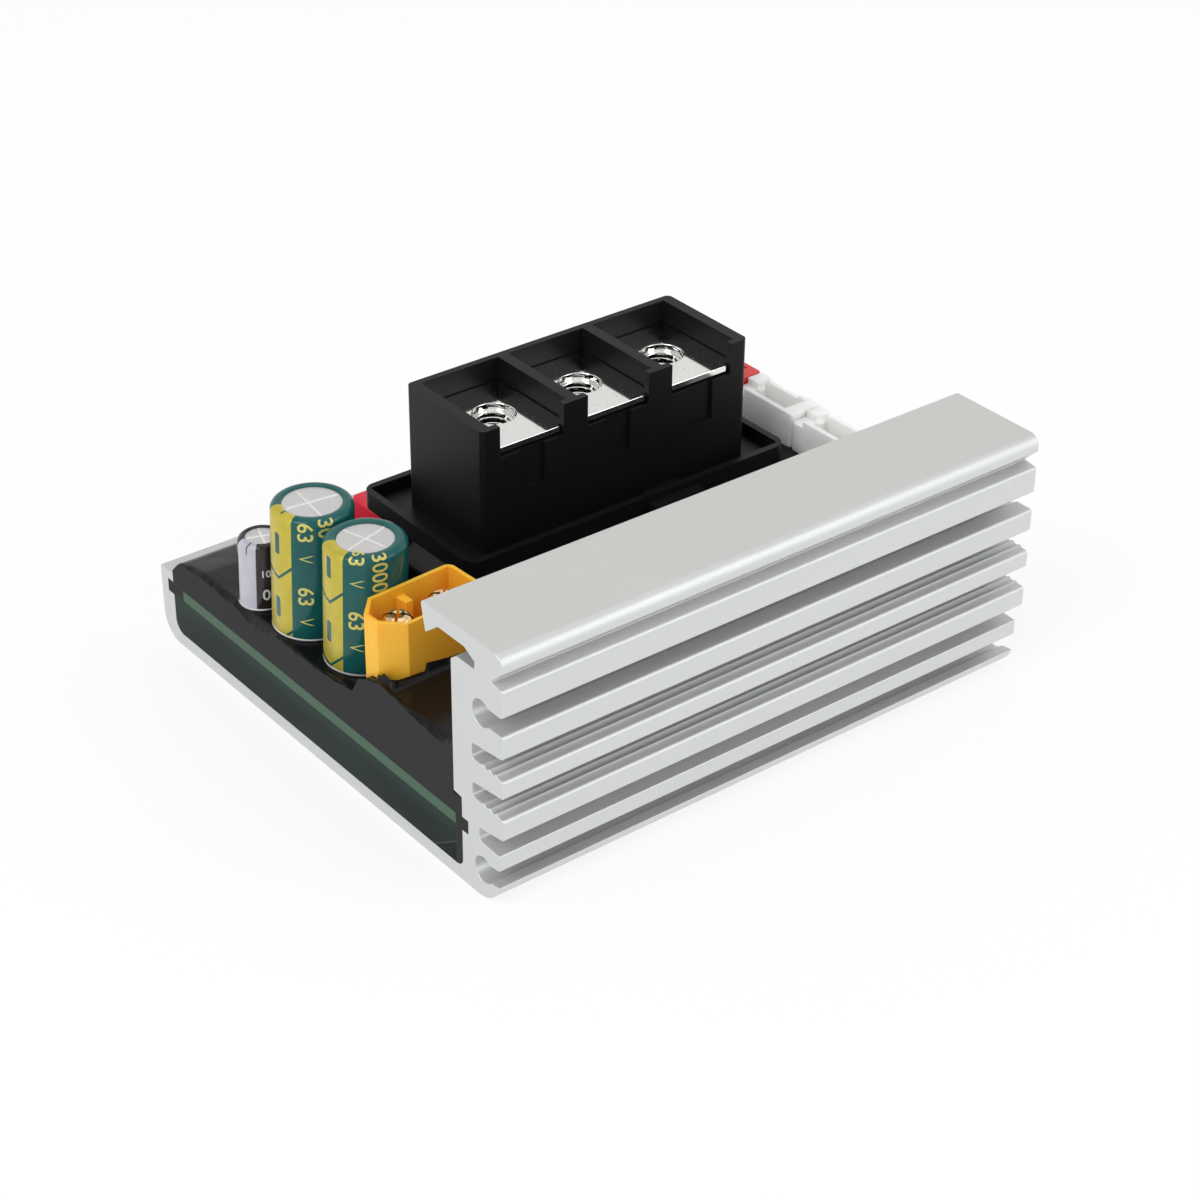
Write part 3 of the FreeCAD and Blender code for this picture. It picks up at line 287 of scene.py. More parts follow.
def yellow_nylon():
    """Satin moulded nylon with a light spark texture."""
    finish = Finish("yellow_nylon", **{"Subsurface Weight": 0.5, "Subsurface Scale": 0.0025,
                                       "Specular IOR Level": 0.35})
    grain = finish.noise(3.5, 3.0)
    flow = finish.noise(0.25, 2.0, (1.0, 1.0, 0.5))
    colour = finish.blend((0.98, 0.43, 0.022), (1.00, 0.52, 0.050), flow * 0.7 + grain * 0.3)
    finish.paint(Base_Color=colour, Roughness=0.32 + grain * 0.14)
    finish.relief(grain, 0.010, 0.4)
    return finish.material


def gold_plate():
    """Gold with faint upright drawing lines."""
    finish = Finish("gold_plate", Metallic=1.0)
    drawn = finish.noise(3.0, 3.0, (1.0, 1.0, 0.2))
    colour = finish.blend((0.84, 0.54, 0.23), (0.98, 0.76, 0.45), drawn)
    finish.paint(Base_Color=colour, Roughness=0.12 + drawn * 0.12)
    finish.relief(drawn, 0.008, 0.4)
    return finish.material


def black_moulding():
    """Glass-filled black nylon: a satin skin with faint flow marks."""
    finish = Finish("black_moulding", **{"Specular IOR Level": 0.16})
    grain = finish.noise(2.6, 4.0, rough=0.6)
    flow = finish.noise(0.12, 3.0, (0.5, 1.0, 1.4))
    colour = finish.blend((0.0035, 0.0035, 0.0038), (0.0085, 0.0085, 0.0090),
                          grain * 0.4 + flow * 0.6)
    finish.paint(Base_Color=colour, Roughness=0.30 + grain * 0.14 + flow * 0.08)
    finish.relief(grain, 0.012, 0.5)
    return finish.material


def nickel_plate():
    """Bright nickel with a few pits."""
    finish = Finish("nickel_plate", Metallic=1.0)
    grain = finish.noise(6.0, 3.0)
    pits = finish.noise(3.2, 2.0).rising(0.70, 0.73)
    cloud = finish.noise(0.4, 2.0)
    colour = finish.blend((0.80, 0.79, 0.765), (0.86, 0.855, 0.84), cloud * 0.6 + grain * 0.4)
    finish.paint(Base_Color=finish.blend(colour, (0.22, 0.21, 0.20), pits * 0.7),
                 Roughness=0.045 + grain * 0.05 + pits * 0.3)
    finish.relief(grain * 0.5 - pits * 0.6, 0.003, 0.4)
    return finish.material


def tinned_copper():
    """Drawn leads with a dull tin coat."""
    finish = Finish("tinned_copper", Metallic=1.0)
    drawn = finish.noise(4.0, 3.0, (1.0, 1.0, 0.15))
    finish.paint(Base_Color=finish.blend((0.58, 0.57, 0.54), (0.74, 0.73, 0.70), drawn),
                 Roughness=0.22 + drawn * 0.18)
    return finish.material


def drawn_can():
    """Bare drawn aluminium, brighter along the pressed vent lines, where a highlight is painted."""
    finish = Finish("drawn_can", Metallic=0.8)
    grain = finish.noise(8.0, 3.0)
    cloud = finish.noise(0.7, 3.0)
    # Painted highlight: the vent lines' mask turns the colour near white and lowers the roughness a
    # little
    reader = finish.add("ShaderNodeAttribute", {"attribute_name": "pressed"}, {})
    pressed = Field(finish, reader.outputs["Fac"])
    plain = finish.blend((0.60, 0.595, 0.585), (0.72, 0.715, 0.705), grain * 0.4 + cloud * 0.6)
    finish.paint(Base_Color=finish.blend(plain, (0.97, 0.97, 0.96), pressed),
                 Roughness=0.36 + grain * 0.16 - pressed * 0.1)
    finish.relief(grain, 0.010, 0.4)
    return finish.material


def moulded(name, low, high, rough, grain_depth, **constants):
    """A plain moulding whose colour and gloss drift a little."""
    finish = Finish(name, **constants)
    grain = finish.noise(3.0, 3.0)
    flow = finish.noise(0.3, 2.0)
    finish.paint(Base_Color=finish.blend(low, high, flow * 0.6 + grain * 0.4),
                 Roughness=rough + grain * 0.14)
    finish.relief(grain, grain_depth, 0.4)
    return finish.material


def around(finish, can, start):
    """Arc in millimetres round a leaning can, 0 at the start angle and signed to either side."""
    axis_x, axis_y = can.axis_at(finish.z)
    across_x = finish.x - axis_x
    across_y = finish.y - axis_y
    ahead = across_x * math.cos(start) + across_y * math.sin(start)
    aside = across_y * math.cos(start) - across_x * math.sin(start)
    return aside.maths("ARCTAN2", aside, ahead) * can.radius


def large_sleeve(can, stripe_angle, dash_height):
    """Teal shrink sleeve with a printed gold stripe of rounded dashes and chevrons."""
    finish = Finish(can.node + "_print", **{"Specular IOR Level": 0.3})
    arc = around(finish, can, CAMERA_SIDE + math.radians(stripe_angle))
    stripe = arc.size().inside(STRIPE_HALF, 0.05)
    # Whole periods, which keep the heights above 0
    many = DASH_PERIOD * 50
    along = (finish.z + (many - dash_height)).folded(DASH_PERIOD)
    dash_x = (arc.size() - DASH_HALF_WIDTH).greater(0.0)
    dash_z = (along - DASH_HALF_HEIGHT).greater(0.0)
    dash = (dash_x * dash_x + dash_z * dash_z).inside(DASH_ROUND, 0.03)
    beside = arc - CHEVRON_MIDDLE
    arms = beside.greater(0.0) * 0.93 - beside.lesser(0.0) * 0.28
    below = finish.z + (many + CHEVRON_DROP - dash_height) - arms
    chevron = below.folded(DASH_PERIOD).inside(CHEVRON_HALF, 0.05)
    gold = stripe * (1 - dash.greater(chevron))
    worn = finish.noise(4.0, 3.0, rough=0.65)
    fleck = worn.rising(0.62, 0.68)
    teal = finish.blend((0.004, 0.070, 0.068), (0.009, 0.110, 0.104), finish.noise(0.25, 2.0))
    print_tone = finish.blend((0.42, 0.34, 0.034), (0.62, 0.52, 0.070),
                              finish.noise(0.6, 3.0))
    printed = finish.blend(teal, print_tone, gold * (1 - fleck * 0.4))
    finish.paint(Base_Color=printed, Metallic=gold * 0.35, Roughness=0.16 + gold * 0.2)
    ripple = finish.noise(0.6, 2.0, (1.0, 1.0, 0.4))
    finish.relief(ripple + worn * gold * 0.1, 0.04, 0.5)
    return finish.material


def small_sleeve(can, stripe_angle):
    """Black-brown shrink sleeve with a pale stripe that carries part of a rounded outline."""
    finish = Finish(can.node + "_print", **{"Specular IOR Level": 0.4})
    arc = around(finish, can, CAMERA_SIDE + math.radians(stripe_angle))
    stripe = arc.size().inside(SMALL_STRIPE_HALF, 0.06)
    pale = finish.blend((0.40, 0.40, 0.47), (0.54, 0.54, 0.61), finish.noise(0.5, 2.0))
    dark = finish.blend((0.016, 0.010, 0.010), (0.032, 0.022, 0.020), finish.noise(0.8, 2.0))
    corner_x = (OUTLINE_SIDE - arc).greater(0.0)
    corner_z = (finish.z - OUTLINE_TOP).greater(0.0)
    away = (corner_x * corner_x + corner_z * corner_z - OUTLINE_ROUND).size()
    above_foot = finish.z.rising(OUTLINE_FOOT - 0.05, OUTLINE_FOOT + 0.05)
    line = away.inside(0.15, 0.06) * above_foot * arc.inside(OUTLINE_SIDE, 0.05)
    mask = stripe * (1 - line)
    finish.paint(Base_Color=finish.blend(dark, pale, mask), Roughness=0.16 + mask * 0.14)
    finish.relief(finish.noise(0.7, 2.0, (1.0, 1.0, 0.4)), 0.04, 0.5)
    return finish.material


# Mesh tools

def joined(node):
    """A merged copy of a CAD node's mesh, with its flat faces whole again, in millimetres."""
    bm = bmesh.new()
    bm.from_mesh(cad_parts[node].data)
    bmesh.ops.scale(bm, vec=(1 / MM,) * 3, verts=bm.verts)
    bmesh.ops.remove_doubles(bm, verts=bm.verts, dist=0.0015)
    bmesh.ops.dissolve_limit(bm, angle_limit=math.radians(0.4), use_dissolve_boundaries=False,
                             verts=bm.verts, edges=bm.edges, delimit={"NORMAL"})
    return bm


def spun(profile, steps):
    """A profile of (radius, height) points turned once round the upright axis."""
    bm = bmesh.new()
    spots = [bm.verts.new((radius, 0.0, height)) for radius, height in profile]
    edges = [bm.edges.new(pair) for pair in zip(spots, spots[1:])]
    bmesh.ops.spin(bm, geom=spots + edges, cent=(0, 0, 0), axis=(0, 0, 1), angle=math.tau,
                   steps=steps, use_merge=True)
    bmesh.ops.remove_doubles(bm, verts=bm.verts, dist=SAME_POINT)
    bmesh.ops.recalc_face_normals(bm, faces=bm.faces)
    return bm


def added(bm, extra):
    """Puts a second mesh into the first."""
    holder = bpy.data.meshes.new("holder")
    extra.to_mesh(holder)
    extra.free()
    bm.from_mesh(holder)
    bpy.data.meshes.remove(holder)


def moved(bm, x, y):
    """Shifts a mesh sideways and gives it back."""
    bmesh.ops.translate(bm, vec=(x, y, 0), verts=bm.verts)
    return bm


def turned_round(bm, angle):
    """Turns a mesh round the upright axis through the origin and gives it back."""
    bmesh.ops.rotate(bm, matrix=Matrix.Rotation(angle, 3, "Z"), verts=bm.verts)
    return bm


def sliced(bm, place, normal, **settings):
    """Cuts along a plane and gives back what the cut made."""
    every = bm.verts[:] + bm.edges[:] + bm.faces[:]
    return bmesh.ops.bisect_plane(bm, geom=every, plane_co=place, plane_no=normal, **settings)


def only(kind, parts):
    """The parts of one kind, such as the vertices among what an operation made."""
    return [part for part in parts if isinstance(part, kind)]


def in_scene(name, data):
    """A new object with this data, linked to the scene."""
    made = bpy.data.objects.new(name, data)
    bpy.context.scene.collection.objects.link(made)
    return made


def piece(name, bm, finish, nodes=(), smooth=32.0, bevel=0.0, segments=2):
    """Turns millimetre mesh work into a finished object that rides on the frame."""
    bmesh.ops.scale(bm, vec=(MM,) * 3, verts=bm.verts)
    mesh = bpy.data.meshes.new(name)
    bm.to_mesh(mesh)
    bm.free()
    mesh.shade_smooth()
    mesh.set_sharp_from_angle(angle=math.radians(smooth))
    mesh.materials.append(finish)
    made = in_scene(name, mesh)
    if bevel:
        cut = made.modifiers.new("edge", "BEVEL")
        cut.width = bevel * MM
        cut.segments = segments
        cut.limit_method = "ANGLE"
        cut.angle_limit = math.radians(40)
        cut.use_clamp_overlap = True
        even = made.modifiers.new("even", "WEIGHTED_NORMAL")
        even.keep_sharp = True
        even.weight = 100
    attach(made, "root")
    if nodes:
        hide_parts(*nodes)


def smoothed(value, low, high):
    """Goes smoothly from 0 at low to 1 at high."""
    share = min(1.0, max(0.0, (value - low) / (high - low)))
    return share * share * (3 - 2 * share)


def between(points, value):
    """Straight lines through (place, height) points, in rising order."""
    if value <= points[0][0]:
        return points[0][1]
    for (low, first), (high, second) in zip(points, points[1:]):
        if value <= high:
            return first + (second - first) * (value - low) / (high - low)
    return points[-1][1]


# Capacitors

CAN_BOTTOM = 9.8
SLEEVE_FOOT = 14.8
SLEEVE_WALL = 0.24
ROLL = 0.85
ROLL_FOOT = 0.95
# Flat print is cut at every step before it is bent round a can, and stands proud of it
PRINT_STEP = 0.24
PRINT_CUTS = 12
PRINT_HALF = 0.012
PRINT_PROUD = 0.004
# Faces of turned shapes that meet at less than this angle are shaded as one
ROUND_SMOOTH = 40.0
FIGURE_SIZE = 2.85


class Can:
    """A capacitor's axis, radius, top and sleeve opening, and the height it leans about."""

    def __init__(self, node, axis, radius, top, opening, pivot):
        self.node = node
        self.axis = axis
        self.radius = radius
        self.top = top
        self.opening = opening
        self.pivot = pivot

    def axis_at(self, height):
        """X and Y of the leaning axis at a height, which may be a number or a Field."""
        over = height - self.pivot
        return tuple(over * (LEAN * share) + start for share, start in zip(ASIDE, self.axis))

    def placed(self, bm):
        """Moves a shape made round the origin onto the leaning axis."""
        foot_x, foot_y = self.axis_at(0.0)
        shear = Matrix(((1, 0, LEAN * ASIDE[0], foot_x), (0, 1, LEAN * ASIDE[1], foot_y),
                        (0, 0, 1, 0), (0, 0, 0, 1)))
        bmesh.ops.transform(bm, matrix=shear, verts=bm.verts)
        return bm


LARGE_1 = Can("large_capacitor_1", (-36.9, 10.0), 5.36, 32.3, 3.85, 20.0)
LARGE_2 = Can("large_capacitor_2", (-35.9, -1.0), 5.36, 31.8, 3.65, 28.0)
SMALL = Can("small_capacitor", (-39.5, 18.35), 3.18, 24.3, 2.15, 16.0)


def sleeve_profile(can):
    """Outside, rolled lip, then back down inside, as one closed line of (radius, height)."""
    radius = can.radius
    top = can.top
    points = [(radius - 0.08, SLEEVE_FOOT - 0.05), (radius, SLEEVE_FOOT + 0.1),
              (radius, top - ROLL_FOOT)]
    for step in range(1, 7):
        turn = math.radians(15 * step)
        points.append((radius - ROLL + ROLL * math.cos(turn),
                       top - ROLL_FOOT + ROLL * math.sin(turn)))
    points += [
        (can.opening + 0.35, top - 0.1),
        (can.opening + 0.1, top - 0.14),
        (can.opening, top - 0.22),
        (can.opening + 0.1, top - 0.32),
        (radius - 0.9, top - 0.34),
        (radius - SLEEVE_WALL, top - 1.0),
        (radius - SLEEVE_WALL, SLEEVE_FOOT - 0.05),
    ]
    return points + points[:1]


def can_with_vent(can, turned, centre, groove):
    """The can, with its pressed vent lines and the bead over the resin."""
    radius = can.radius
    opening = can.opening
    face = can.top - 0.30
    rings = 18
    profile = [(0.0, face)]
    profile += [(opening * 1.04 * step / rings, face) for step in range(1, rings + 1)]
    profile += [
        (radius - 0.6, face - 0.25),
        (radius - 0.32, face - 1.0),
        (radius - 0.32, SLEEVE_FOOT + 0.1),
        (radius - 0.02, SLEEVE_FOOT - 0.02),
        (radius + 0.02, SLEEVE_FOOT - 0.18),
        (radius - 0.1, SLEEVE_FOOT - 0.4),
        (radius - 0.35, SLEEVE_FOOT - 0.6),
        (radius - 0.35, CAN_BOTTOM),
        (0.0, CAN_BOTTOM),
    ]
    bm = spun(profile, 180)
    # Painted highlight: each vertex near a vent line gets a mask that the can's finish turns near
    # white
    pressed = bm.verts.layers.float.new("pressed")
    arms = [CAMERA_SIDE + math.radians(turned + 90 * quarter) for quarter in range(4)]
    for vert in bm.verts:
        reach = math.hypot(vert.co.x, vert.co.y)
        if vert.co.z < face - NEAR or reach > opening * 1.02:
            continue
        x = vert.co.x - centre[0]
        y = vert.co.y - centre[1]
        aside = min(distance_from_arm(x, y, arm) for arm in arms)
        if reach < opening * 0.93:
            swell = smoothed(aside, 0.12, 0.30) - smoothed(aside, 0.30, 0.55)
            vert.co.z -= groove * (1 - smoothed(aside, 0.05, 0.26))
            vert.co.z += groove * 0.5 * swell
            vert[pressed] = 1 - smoothed(aside, 0.06, 0.17)
        vert.co.z += 0.05 * (1 - (reach / opening) ** 2)
    return can.placed(bm)


def distance_from_arm(x, y, angle):
    """How far a point is from a ray that starts at the middle."""
    along = x * math.cos(angle) + y * math.sin(angle)
    if along < 0:
        return math.hypot(x, y)
    return abs(y * math.cos(angle) - x * math.sin(angle))


def flat_print(name, words, size):
    """Plain figures as a thin flat solid, reading along X."""
    font = bpy.data.curves.new(name, "FONT")
    font.body = words
    font.size = size
    font.extrude = PRINT_HALF
    font.offset = 0.03
    font.resolution_u = 4
    holder = bpy.data.objects.new(name + "_flat", font)
    mesh = bpy.data.meshes.new_from_object(holder)
    bm = bmesh.new()
    bm.from_mesh(mesh)
    bpy.data.objects.remove(holder)
    bpy.data.curves.remove(font)
    bpy.data.meshes.remove(mesh)
    bmesh.ops.remove_doubles(bm, verts=bm.verts, dist=SAME_POINT)
    return bm


def flat_mark(length, spread, width):
    """A narrow chevron, its point at the low X end, as a thin flat solid."""
    bm = bmesh.new()
    tip = bm.verts.new((0.0, 0.0, -PRINT_HALF))
    ends = [bm.verts.new((length, side * spread / 2, -PRINT_HALF)) for side in (1, -1)]
    arms = [bm.edges.new((tip, end)) for end in ends]
    far_side = only(bmesh.types.BMVert, bmesh.ops.extrude_edge_only(bm, edges=arms)["geom"])
    bmesh.ops.translate(bm, vec=(width, 0, 0), verts=far_side)
    top = only(bmesh.types.BMVert, bmesh.ops.extrude_face_region(bm, geom=bm.faces[:])["geom"])
    bmesh.ops.translate(bm, vec=(0, 0, 2 * PRINT_HALF), verts=top)
    return bm


def wrapped(name, bm, can, angle, height, finish):
    """Lays flat print on a can: X goes round it from the angle, and Y up it from the height."""
    for step in range(-PRINT_CUTS, PRINT_CUTS + 1):
        for normal in ((1, 0, 0), (0, 1, 0)):
            sliced(bm, tuple(PRINT_STEP * step * share for share in normal), normal)
    for vert in bm.verts:
        turn = CAMERA_SIDE + math.radians(angle) + vert.co.x / can.radius
        over = height + vert.co.y - (can.top - ROLL_FOOT)
        roll = min(max(over / ROLL, 0.0), math.pi / 2)
        proud = PRINT_PROUD + vert.co.z
        out = can.radius - ROLL + (ROLL + proud) * math.cos(roll)
        out -= max(over - ROLL * math.pi / 2, 0.0)
        rise = can.top - ROLL_FOOT + (ROLL + proud) * math.sin(roll) + min(over, 0.0)
        vert.co = (out * math.cos(turn), out * math.sin(turn), rise)
    bmesh.ops.recalc_face_normals(bm, faces=bm.faces)
    piece(name, can.placed(bm), finish, smooth=60.0)


def printed_column(name, words, size, can, angle, height, finish):
    """Figures that read down a can, their tops to the right."""
    # A figure's middle is this share of the size above its foot
    bm = moved(flat_print(name, words, size), 0, -size * 0.36)
    wrapped(name, turned_round(bm, -math.pi / 2), can, angle, height, finish)


def sleeve_and_can(can, print_finish, steps, metal, vent):
    """The two CAD nodes of a capacitor that show, with their real shapes."""
    sleeve = can.placed(spun(sleeve_profile(can), steps))
    piece(can.node + "_shrink_sleeve", sleeve, print_finish, [can.node + "_sleeve"],
          ROUND_SMOOTH)
    shell = can_with_vent(can, *vent)
    piece(can.node + "_drawn_can", shell, metal, [can.node + "_can"], ROUND_SMOOTH)


def capacitors():
    metal = drawn_can()
    ink = moulded("gold_print", (0.52, 0.46, 0.10), (0.66, 0.59, 0.17), 0.3, 0.004, Metallic=0.2)
    pale_ink = moulded("pale_print", (0.50, 0.50, 0.52), (0.62, 0.62, 0.64), 0.35, 0.004)
    # Can, the stripe's angle and dash height, the vent's turn, middle and depth, then the figures
    # and the marks, each with an angle from the camera's side and a height
    plan = [
        (LARGE_1, -50.6, 18.62, (31.8, (-0.5, 0.1), 0.10),
         [("63", -3.6, 31.95), ("63", -3.6, 22.6), ("30", 24.7, 32.5)],
         [(-13.5, 26.75), (-13.5, 17.4)]),
        (LARGE_2, -53.2, 19.93, (54.2, (0.0, -0.1), 0.10),
         [("63", -7.2, 33.45), ("63", -7.2, 24.1), ("3000", 25.0, 32.4)],
         [(-17.0, 28.1), (-17.0, 18.75)]),
    ]
    for can, stripe_angle, dash_height, vent, columns, marks in plan:
        print_finish = large_sleeve(can, stripe_angle, dash_height)
        sleeve_and_can(can, print_finish, 112, metal, vent)
        for number, (words, angle, height) in enumerate(columns):
            printed_column("%s_figures_%d" % (can.node, number + 1), words, FIGURE_SIZE, can,
                           angle, height, ink)
        for number, (angle, height) in enumerate(marks):
            wrapped("%s_mark_%d" % (can.node, number + 1), flat_mark(1.55, 1.0, 0.42), can,
                    angle, height, ink)
    print_finish = small_sleeve(SMALL, -36.5)
    sleeve_and_can(SMALL, print_finish, 80, metal, (20, (0.0, 0.0), 0.08))
    for number, (words, size, angle, height) in enumerate([("10", 1.45, 1.5, 19.6),
                                                           ("0", 2.2, 6.0, 16.2)]):
        name = "small_capacitor_figures_%d" % (number + 1)
        wrapped(name, flat_print(name, words, size), SMALL, angle, height, pale_ink)


# Resin above the board. Here x is the distance from the near end and y that from the fin tips.

RESIN_SPLIT = 12.3
RESIN_LEVEL = 14.3
RESIN_BANK = 18.9
RESIN_LOW = 10.05
RESIN_HIGH = 74.65
# Where the bank by the fins ends, and where the bank round the terminal block starts and ends
FIN_BANK_END = (28.0, 32.4)
BLOCK_BANK_START = (23.2, 27.2)
BLOCK_BANK_END = (56.4, 58.2)
# How far the resin climbs, or drops, at a wall, and over what distance that fades
WALL_CLIMB = (1.3, 0.55)
CAN_CLIMB = (0.10, 0.45)
SOCKET_CLIMB = (1.5, 0.55)
END_DROP = (0.16, 0.12)
SOCKET_CLIMB_END = 27.3
END_FADE = 0.9
WAVE = 0.06
CAST_RIPPLE = 0.22
GRID_CROWDING = 0.075
# Heights by y: of the cast edge on the near end face, and of the surface at the low wall
CAST_EDGE = [(10.05, 20.3), (10.7, 19.0), (11.6, 18.5), (13.0, 18.2), (17.1, 18.6), (21.2, 19.2),
             (24.6, 19.7), (27.3, 19.2), (30.1, 18.0), (31.5, 15.4), (35.7, 14.7), (41.0, 14.3),
             (48.5, 14.3), (53.2, 13.1), (55.9, 13.0), (58.8, 13.9), (66.0, 14.0), (71.0, 13.85),
             (72.8, 13.7), (73.9, 13.15), (75.4, 11.45)]
WALL_EDGE = [(68.0, RESIN_LEVEL), (72.8, 13.7), (73.9, 13.15), (75.4, 11.45)]
# The battery socket's near corner, its turn about that corner, and its length and width
SOCKET_NEAR = (1.3, 24.4)
SOCKET_TURN = math.radians(3.3)
SOCKET_SIZE = (15.5, 8.0)


def clearance_of_socket(x, y):
    """Distance from the battery socket's outline, 0 inside it."""
    x -= SOCKET_NEAR[0]
    y -= SOCKET_NEAR[1]
    ahead = x * math.cos(SOCKET_TURN) + y * math.sin(SOCKET_TURN)
    aside = y * math.cos(SOCKET_TURN) - x * math.sin(SOCKET_TURN)
    out_x = max(-ahead, 0.0, ahead - SOCKET_SIZE[0])
    out_y = max(-aside, 0.0, aside - SOCKET_SIZE[1])
    return math.hypot(out_x, out_y)


def faded(rise_and_reach, distance):
    """A climb or a drop as it is left at a distance from its wall."""
    rise, reach = rise_and_reach
    return rise * math.exp(-distance / reach)


def resin_height(x, y):
    """Level of the resin at a place."""
    fin_bank = 1 - smoothed(y, *FIN_BANK_END)
    block_bank = smoothed(x, *BLOCK_BANK_START) * (1 - smoothed(y, *BLOCK_BANK_END))
    bank = max(fin_bank, block_bank)
    level = RESIN_LEVEL + (RESIN_BANK - RESIN_LEVEL) * bank
    if y > WALL_EDGE[0][0]:
        level = min(level, between(WALL_EDGE, y))
    level += faded(WALL_CLIMB, y - RESIN_LOW)
    wave = noise.noise(Vector((x * 0.35, y * 0.35, 0.3))) * WAVE
    level += wave * smoothed(75.0 - y, 0.0, 4.0)
    for can in (LARGE_1, LARGE_2, SMALL):
        axis_x, axis_y = can.axis_at(RESIN_LEVEL)
        gap = math.hypot(x - HALF_LENGTH - axis_x, y - HALF_WIDTH - axis_y) - can.radius
        level += faded(CAN_CLIMB, max(gap, 0.0)) * (1 - bank)
    beside = clearance_of_socket(x, y)
    if beside > 0:
        level += faded(SOCKET_CLIMB, beside) * smoothed(SOCKET_CLIMB_END - y, 0.0, 0.5)
    if x > HALF_LENGTH:
        edge = level - 0.1
    else:
        edge = between(CAST_EDGE, y) + noise.noise(Vector((y * 1.4, 7.7, 0.1))) * CAST_RIPPLE
    from_end = min(x, 2 * HALF_LENGTH - x)
    level = edge + (level - edge) * smoothed(from_end, 0.0, END_FADE)
    return level - faded(END_DROP, from_end)


def potting():
    """The CAD resin up to the split, and over it a grid with the real surface."""
    bm = joined("potting_resin")
    cut = sliced(bm, (0, 0, RESIN_SPLIT), (0, 0, 1), dist=0.0001, clear_outer=True)
    rim = only(bmesh.types.BMEdge, cut["geom_cut"])
    bmesh.ops.triangle_fill(bm, edges=rim, use_beauty=True, use_dissolve=False, normal=(0, 0, 1))
    top = bmesh.new()
    bmesh.ops.create_grid(top, x_segments=190, y_segments=150, size=0.5)
    for vert in top.verts:
        share = vert.co.x + 0.5
        x = 2 * HALF_LENGTH * (share - GRID_CROWDING * math.sin(math.tau * share))
        y = RESIN_LOW + (RESIN_HIGH - RESIN_LOW) * (vert.co.y + 0.5)
        vert.co = (x - HALF_LENGTH, y - HALF_WIDTH, max(resin_height(x, y), RESIN_SPLIT))
    outline = [edge for edge in top.edges if edge.is_boundary]
    skirt = bmesh.ops.extrude_edge_only(top, edges=outline)["geom"]
    for vert in only(bmesh.types.BMVert, skirt):
        vert.co.z = RESIN_SPLIT
    rim = [edge for edge in top.edges if edge.is_boundary]
    bmesh.ops.edgeloop_fill(top, edges=rim)
    bmesh.ops.recalc_face_normals(top, faces=top.faces)
    added(bm, top)
    piece("potting", bm, potting_compound(), ["potting_resin"], 38.0)


# Terminals

HOLE_Y = 8.7
NUT_LOW = 31.6
NUT_HIGH = 35.2
THREAD_CORE = 2.07
THREAD_OUTER = 2.5
THREAD_PITCH = 0.8
THREAD_TURNS = 6
THREAD_LEAD = 0.6
THREAD_HALF = 0.36
CREST_HALF = 0.05
TURN_STEPS = 72


def thread(centre):
    """A helical ridge that lines the nut's hole."""
    bm = bmesh.new()
    low = NUT_LOW - THREAD_LEAD
    root = THREAD_OUTER + 0.02
    profile = [(root, low - THREAD_HALF), (THREAD_CORE, low - CREST_HALF),
               (THREAD_CORE, low + CREST_HALF), (root, low + THREAD_HALF)]
    spots = [bm.verts.new((radius, 0.0, height)) for radius, height in profile]
    steps = TURN_STEPS * THREAD_TURNS
    bmesh.ops.spin(bm, geom=[bm.faces.new(spots)], cent=(0, 0, 0), axis=(0, 0, 1),
                   angle=math.tau * THREAD_TURNS, steps=steps,
                   dvec=(0, 0, THREAD_PITCH * THREAD_TURNS / steps), use_merge=False)
    bmesh.ops.remove_doubles(bm, verts=bm.verts, dist=SAME_POINT)
    for end, direction in ((NUT_LOW + 0.02, -1), (NUT_HIGH - 0.12, 1)):
        sliced(bm, (0, 0, end), (0, 0, direction), clear_outer=True)
    rim = [edge for edge in bm.edges if edge.is_boundary]
    bmesh.ops.holes_fill(bm, edges=rim, sides=0)
    bmesh.ops.recalc_face_normals(bm, faces=bm.faces)
    return moved(bm, *centre)


def terminals():
    """The folded plates with their nuts, and a thread in each nut."""
    nickel = nickel_plate()
    for phase in (1, 2, 3):
        node = "phase_lug_%d" % phase
        low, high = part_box(node)
        centre = ((low.x + high.x) / 2 / MM, HOLE_Y)
        bm = joined(node)
        for vert in bm.verts:
            reach = math.hypot(vert.co.x - centre[0], vert.co.y - centre[1])
            if abs(reach - THREAD_CORE) < NEAR:
                grown = THREAD_OUTER / reach
                vert.co.x = centre[0] + (vert.co.x - centre[0]) * grown
                vert.co.y = centre[1] + (vert.co.y - centre[1]) * grown
        piece("phase_plate_%d" % phase, bm, nickel, [node], bevel=0.10)
        piece("phase_thread_%d" % phase, thread(centre), nickel, (), 50.0)


# Pieces from their CAD shapes, with eased edges and a few places corrected

BOARD_END = 42.5
TRAY_LOW = 20.2
TRAY_HIGH = 23.1
TRAY_NEAR = -17.4
TRAY_FAR = 28.0
TRAY_BACK = 17.8
TRAY_END_REACH = 1.0
TRAY_BACK_REACH = 0.7
LIP_LOW = 35.4
LIP_EDGE = -24.2
LIP_DEPTH = 0.7
LIP_NEAR_REACH = 0.75
LIP_FAR_REACH = 0.25
SOCKET_FLOOR = 19.1
# Half sizes that have the socket's inner wall between them, and how much it grows
OUTSIDE_HALF = (7.3, 3.6)
INSIDE_HALF = (6.0, 3.0)
WALL_GROWTH = (1.051, 1.113)
RIB_TOP = 25.1
RIB_RISE = 0.75
RIB_X = -0.5
RIB_HALF = 0.8
RIB_FRONT = 1.4
RIB_NARROWING = 0.75
PIN_SHANK = 1.0
PIN_RADIUS = 1.75
PIN_SHOULDER = 11.4
PIN_TOP = 26.1
PIN_DOME = 1.05
SPLIT_FOOT = 20.2
SPLIT_SHIFT = 0.2


def eased(name, node, finish, bevel, segments=2):
    piece(name, joined(node), finish, [node], bevel=bevel, segments=segments)


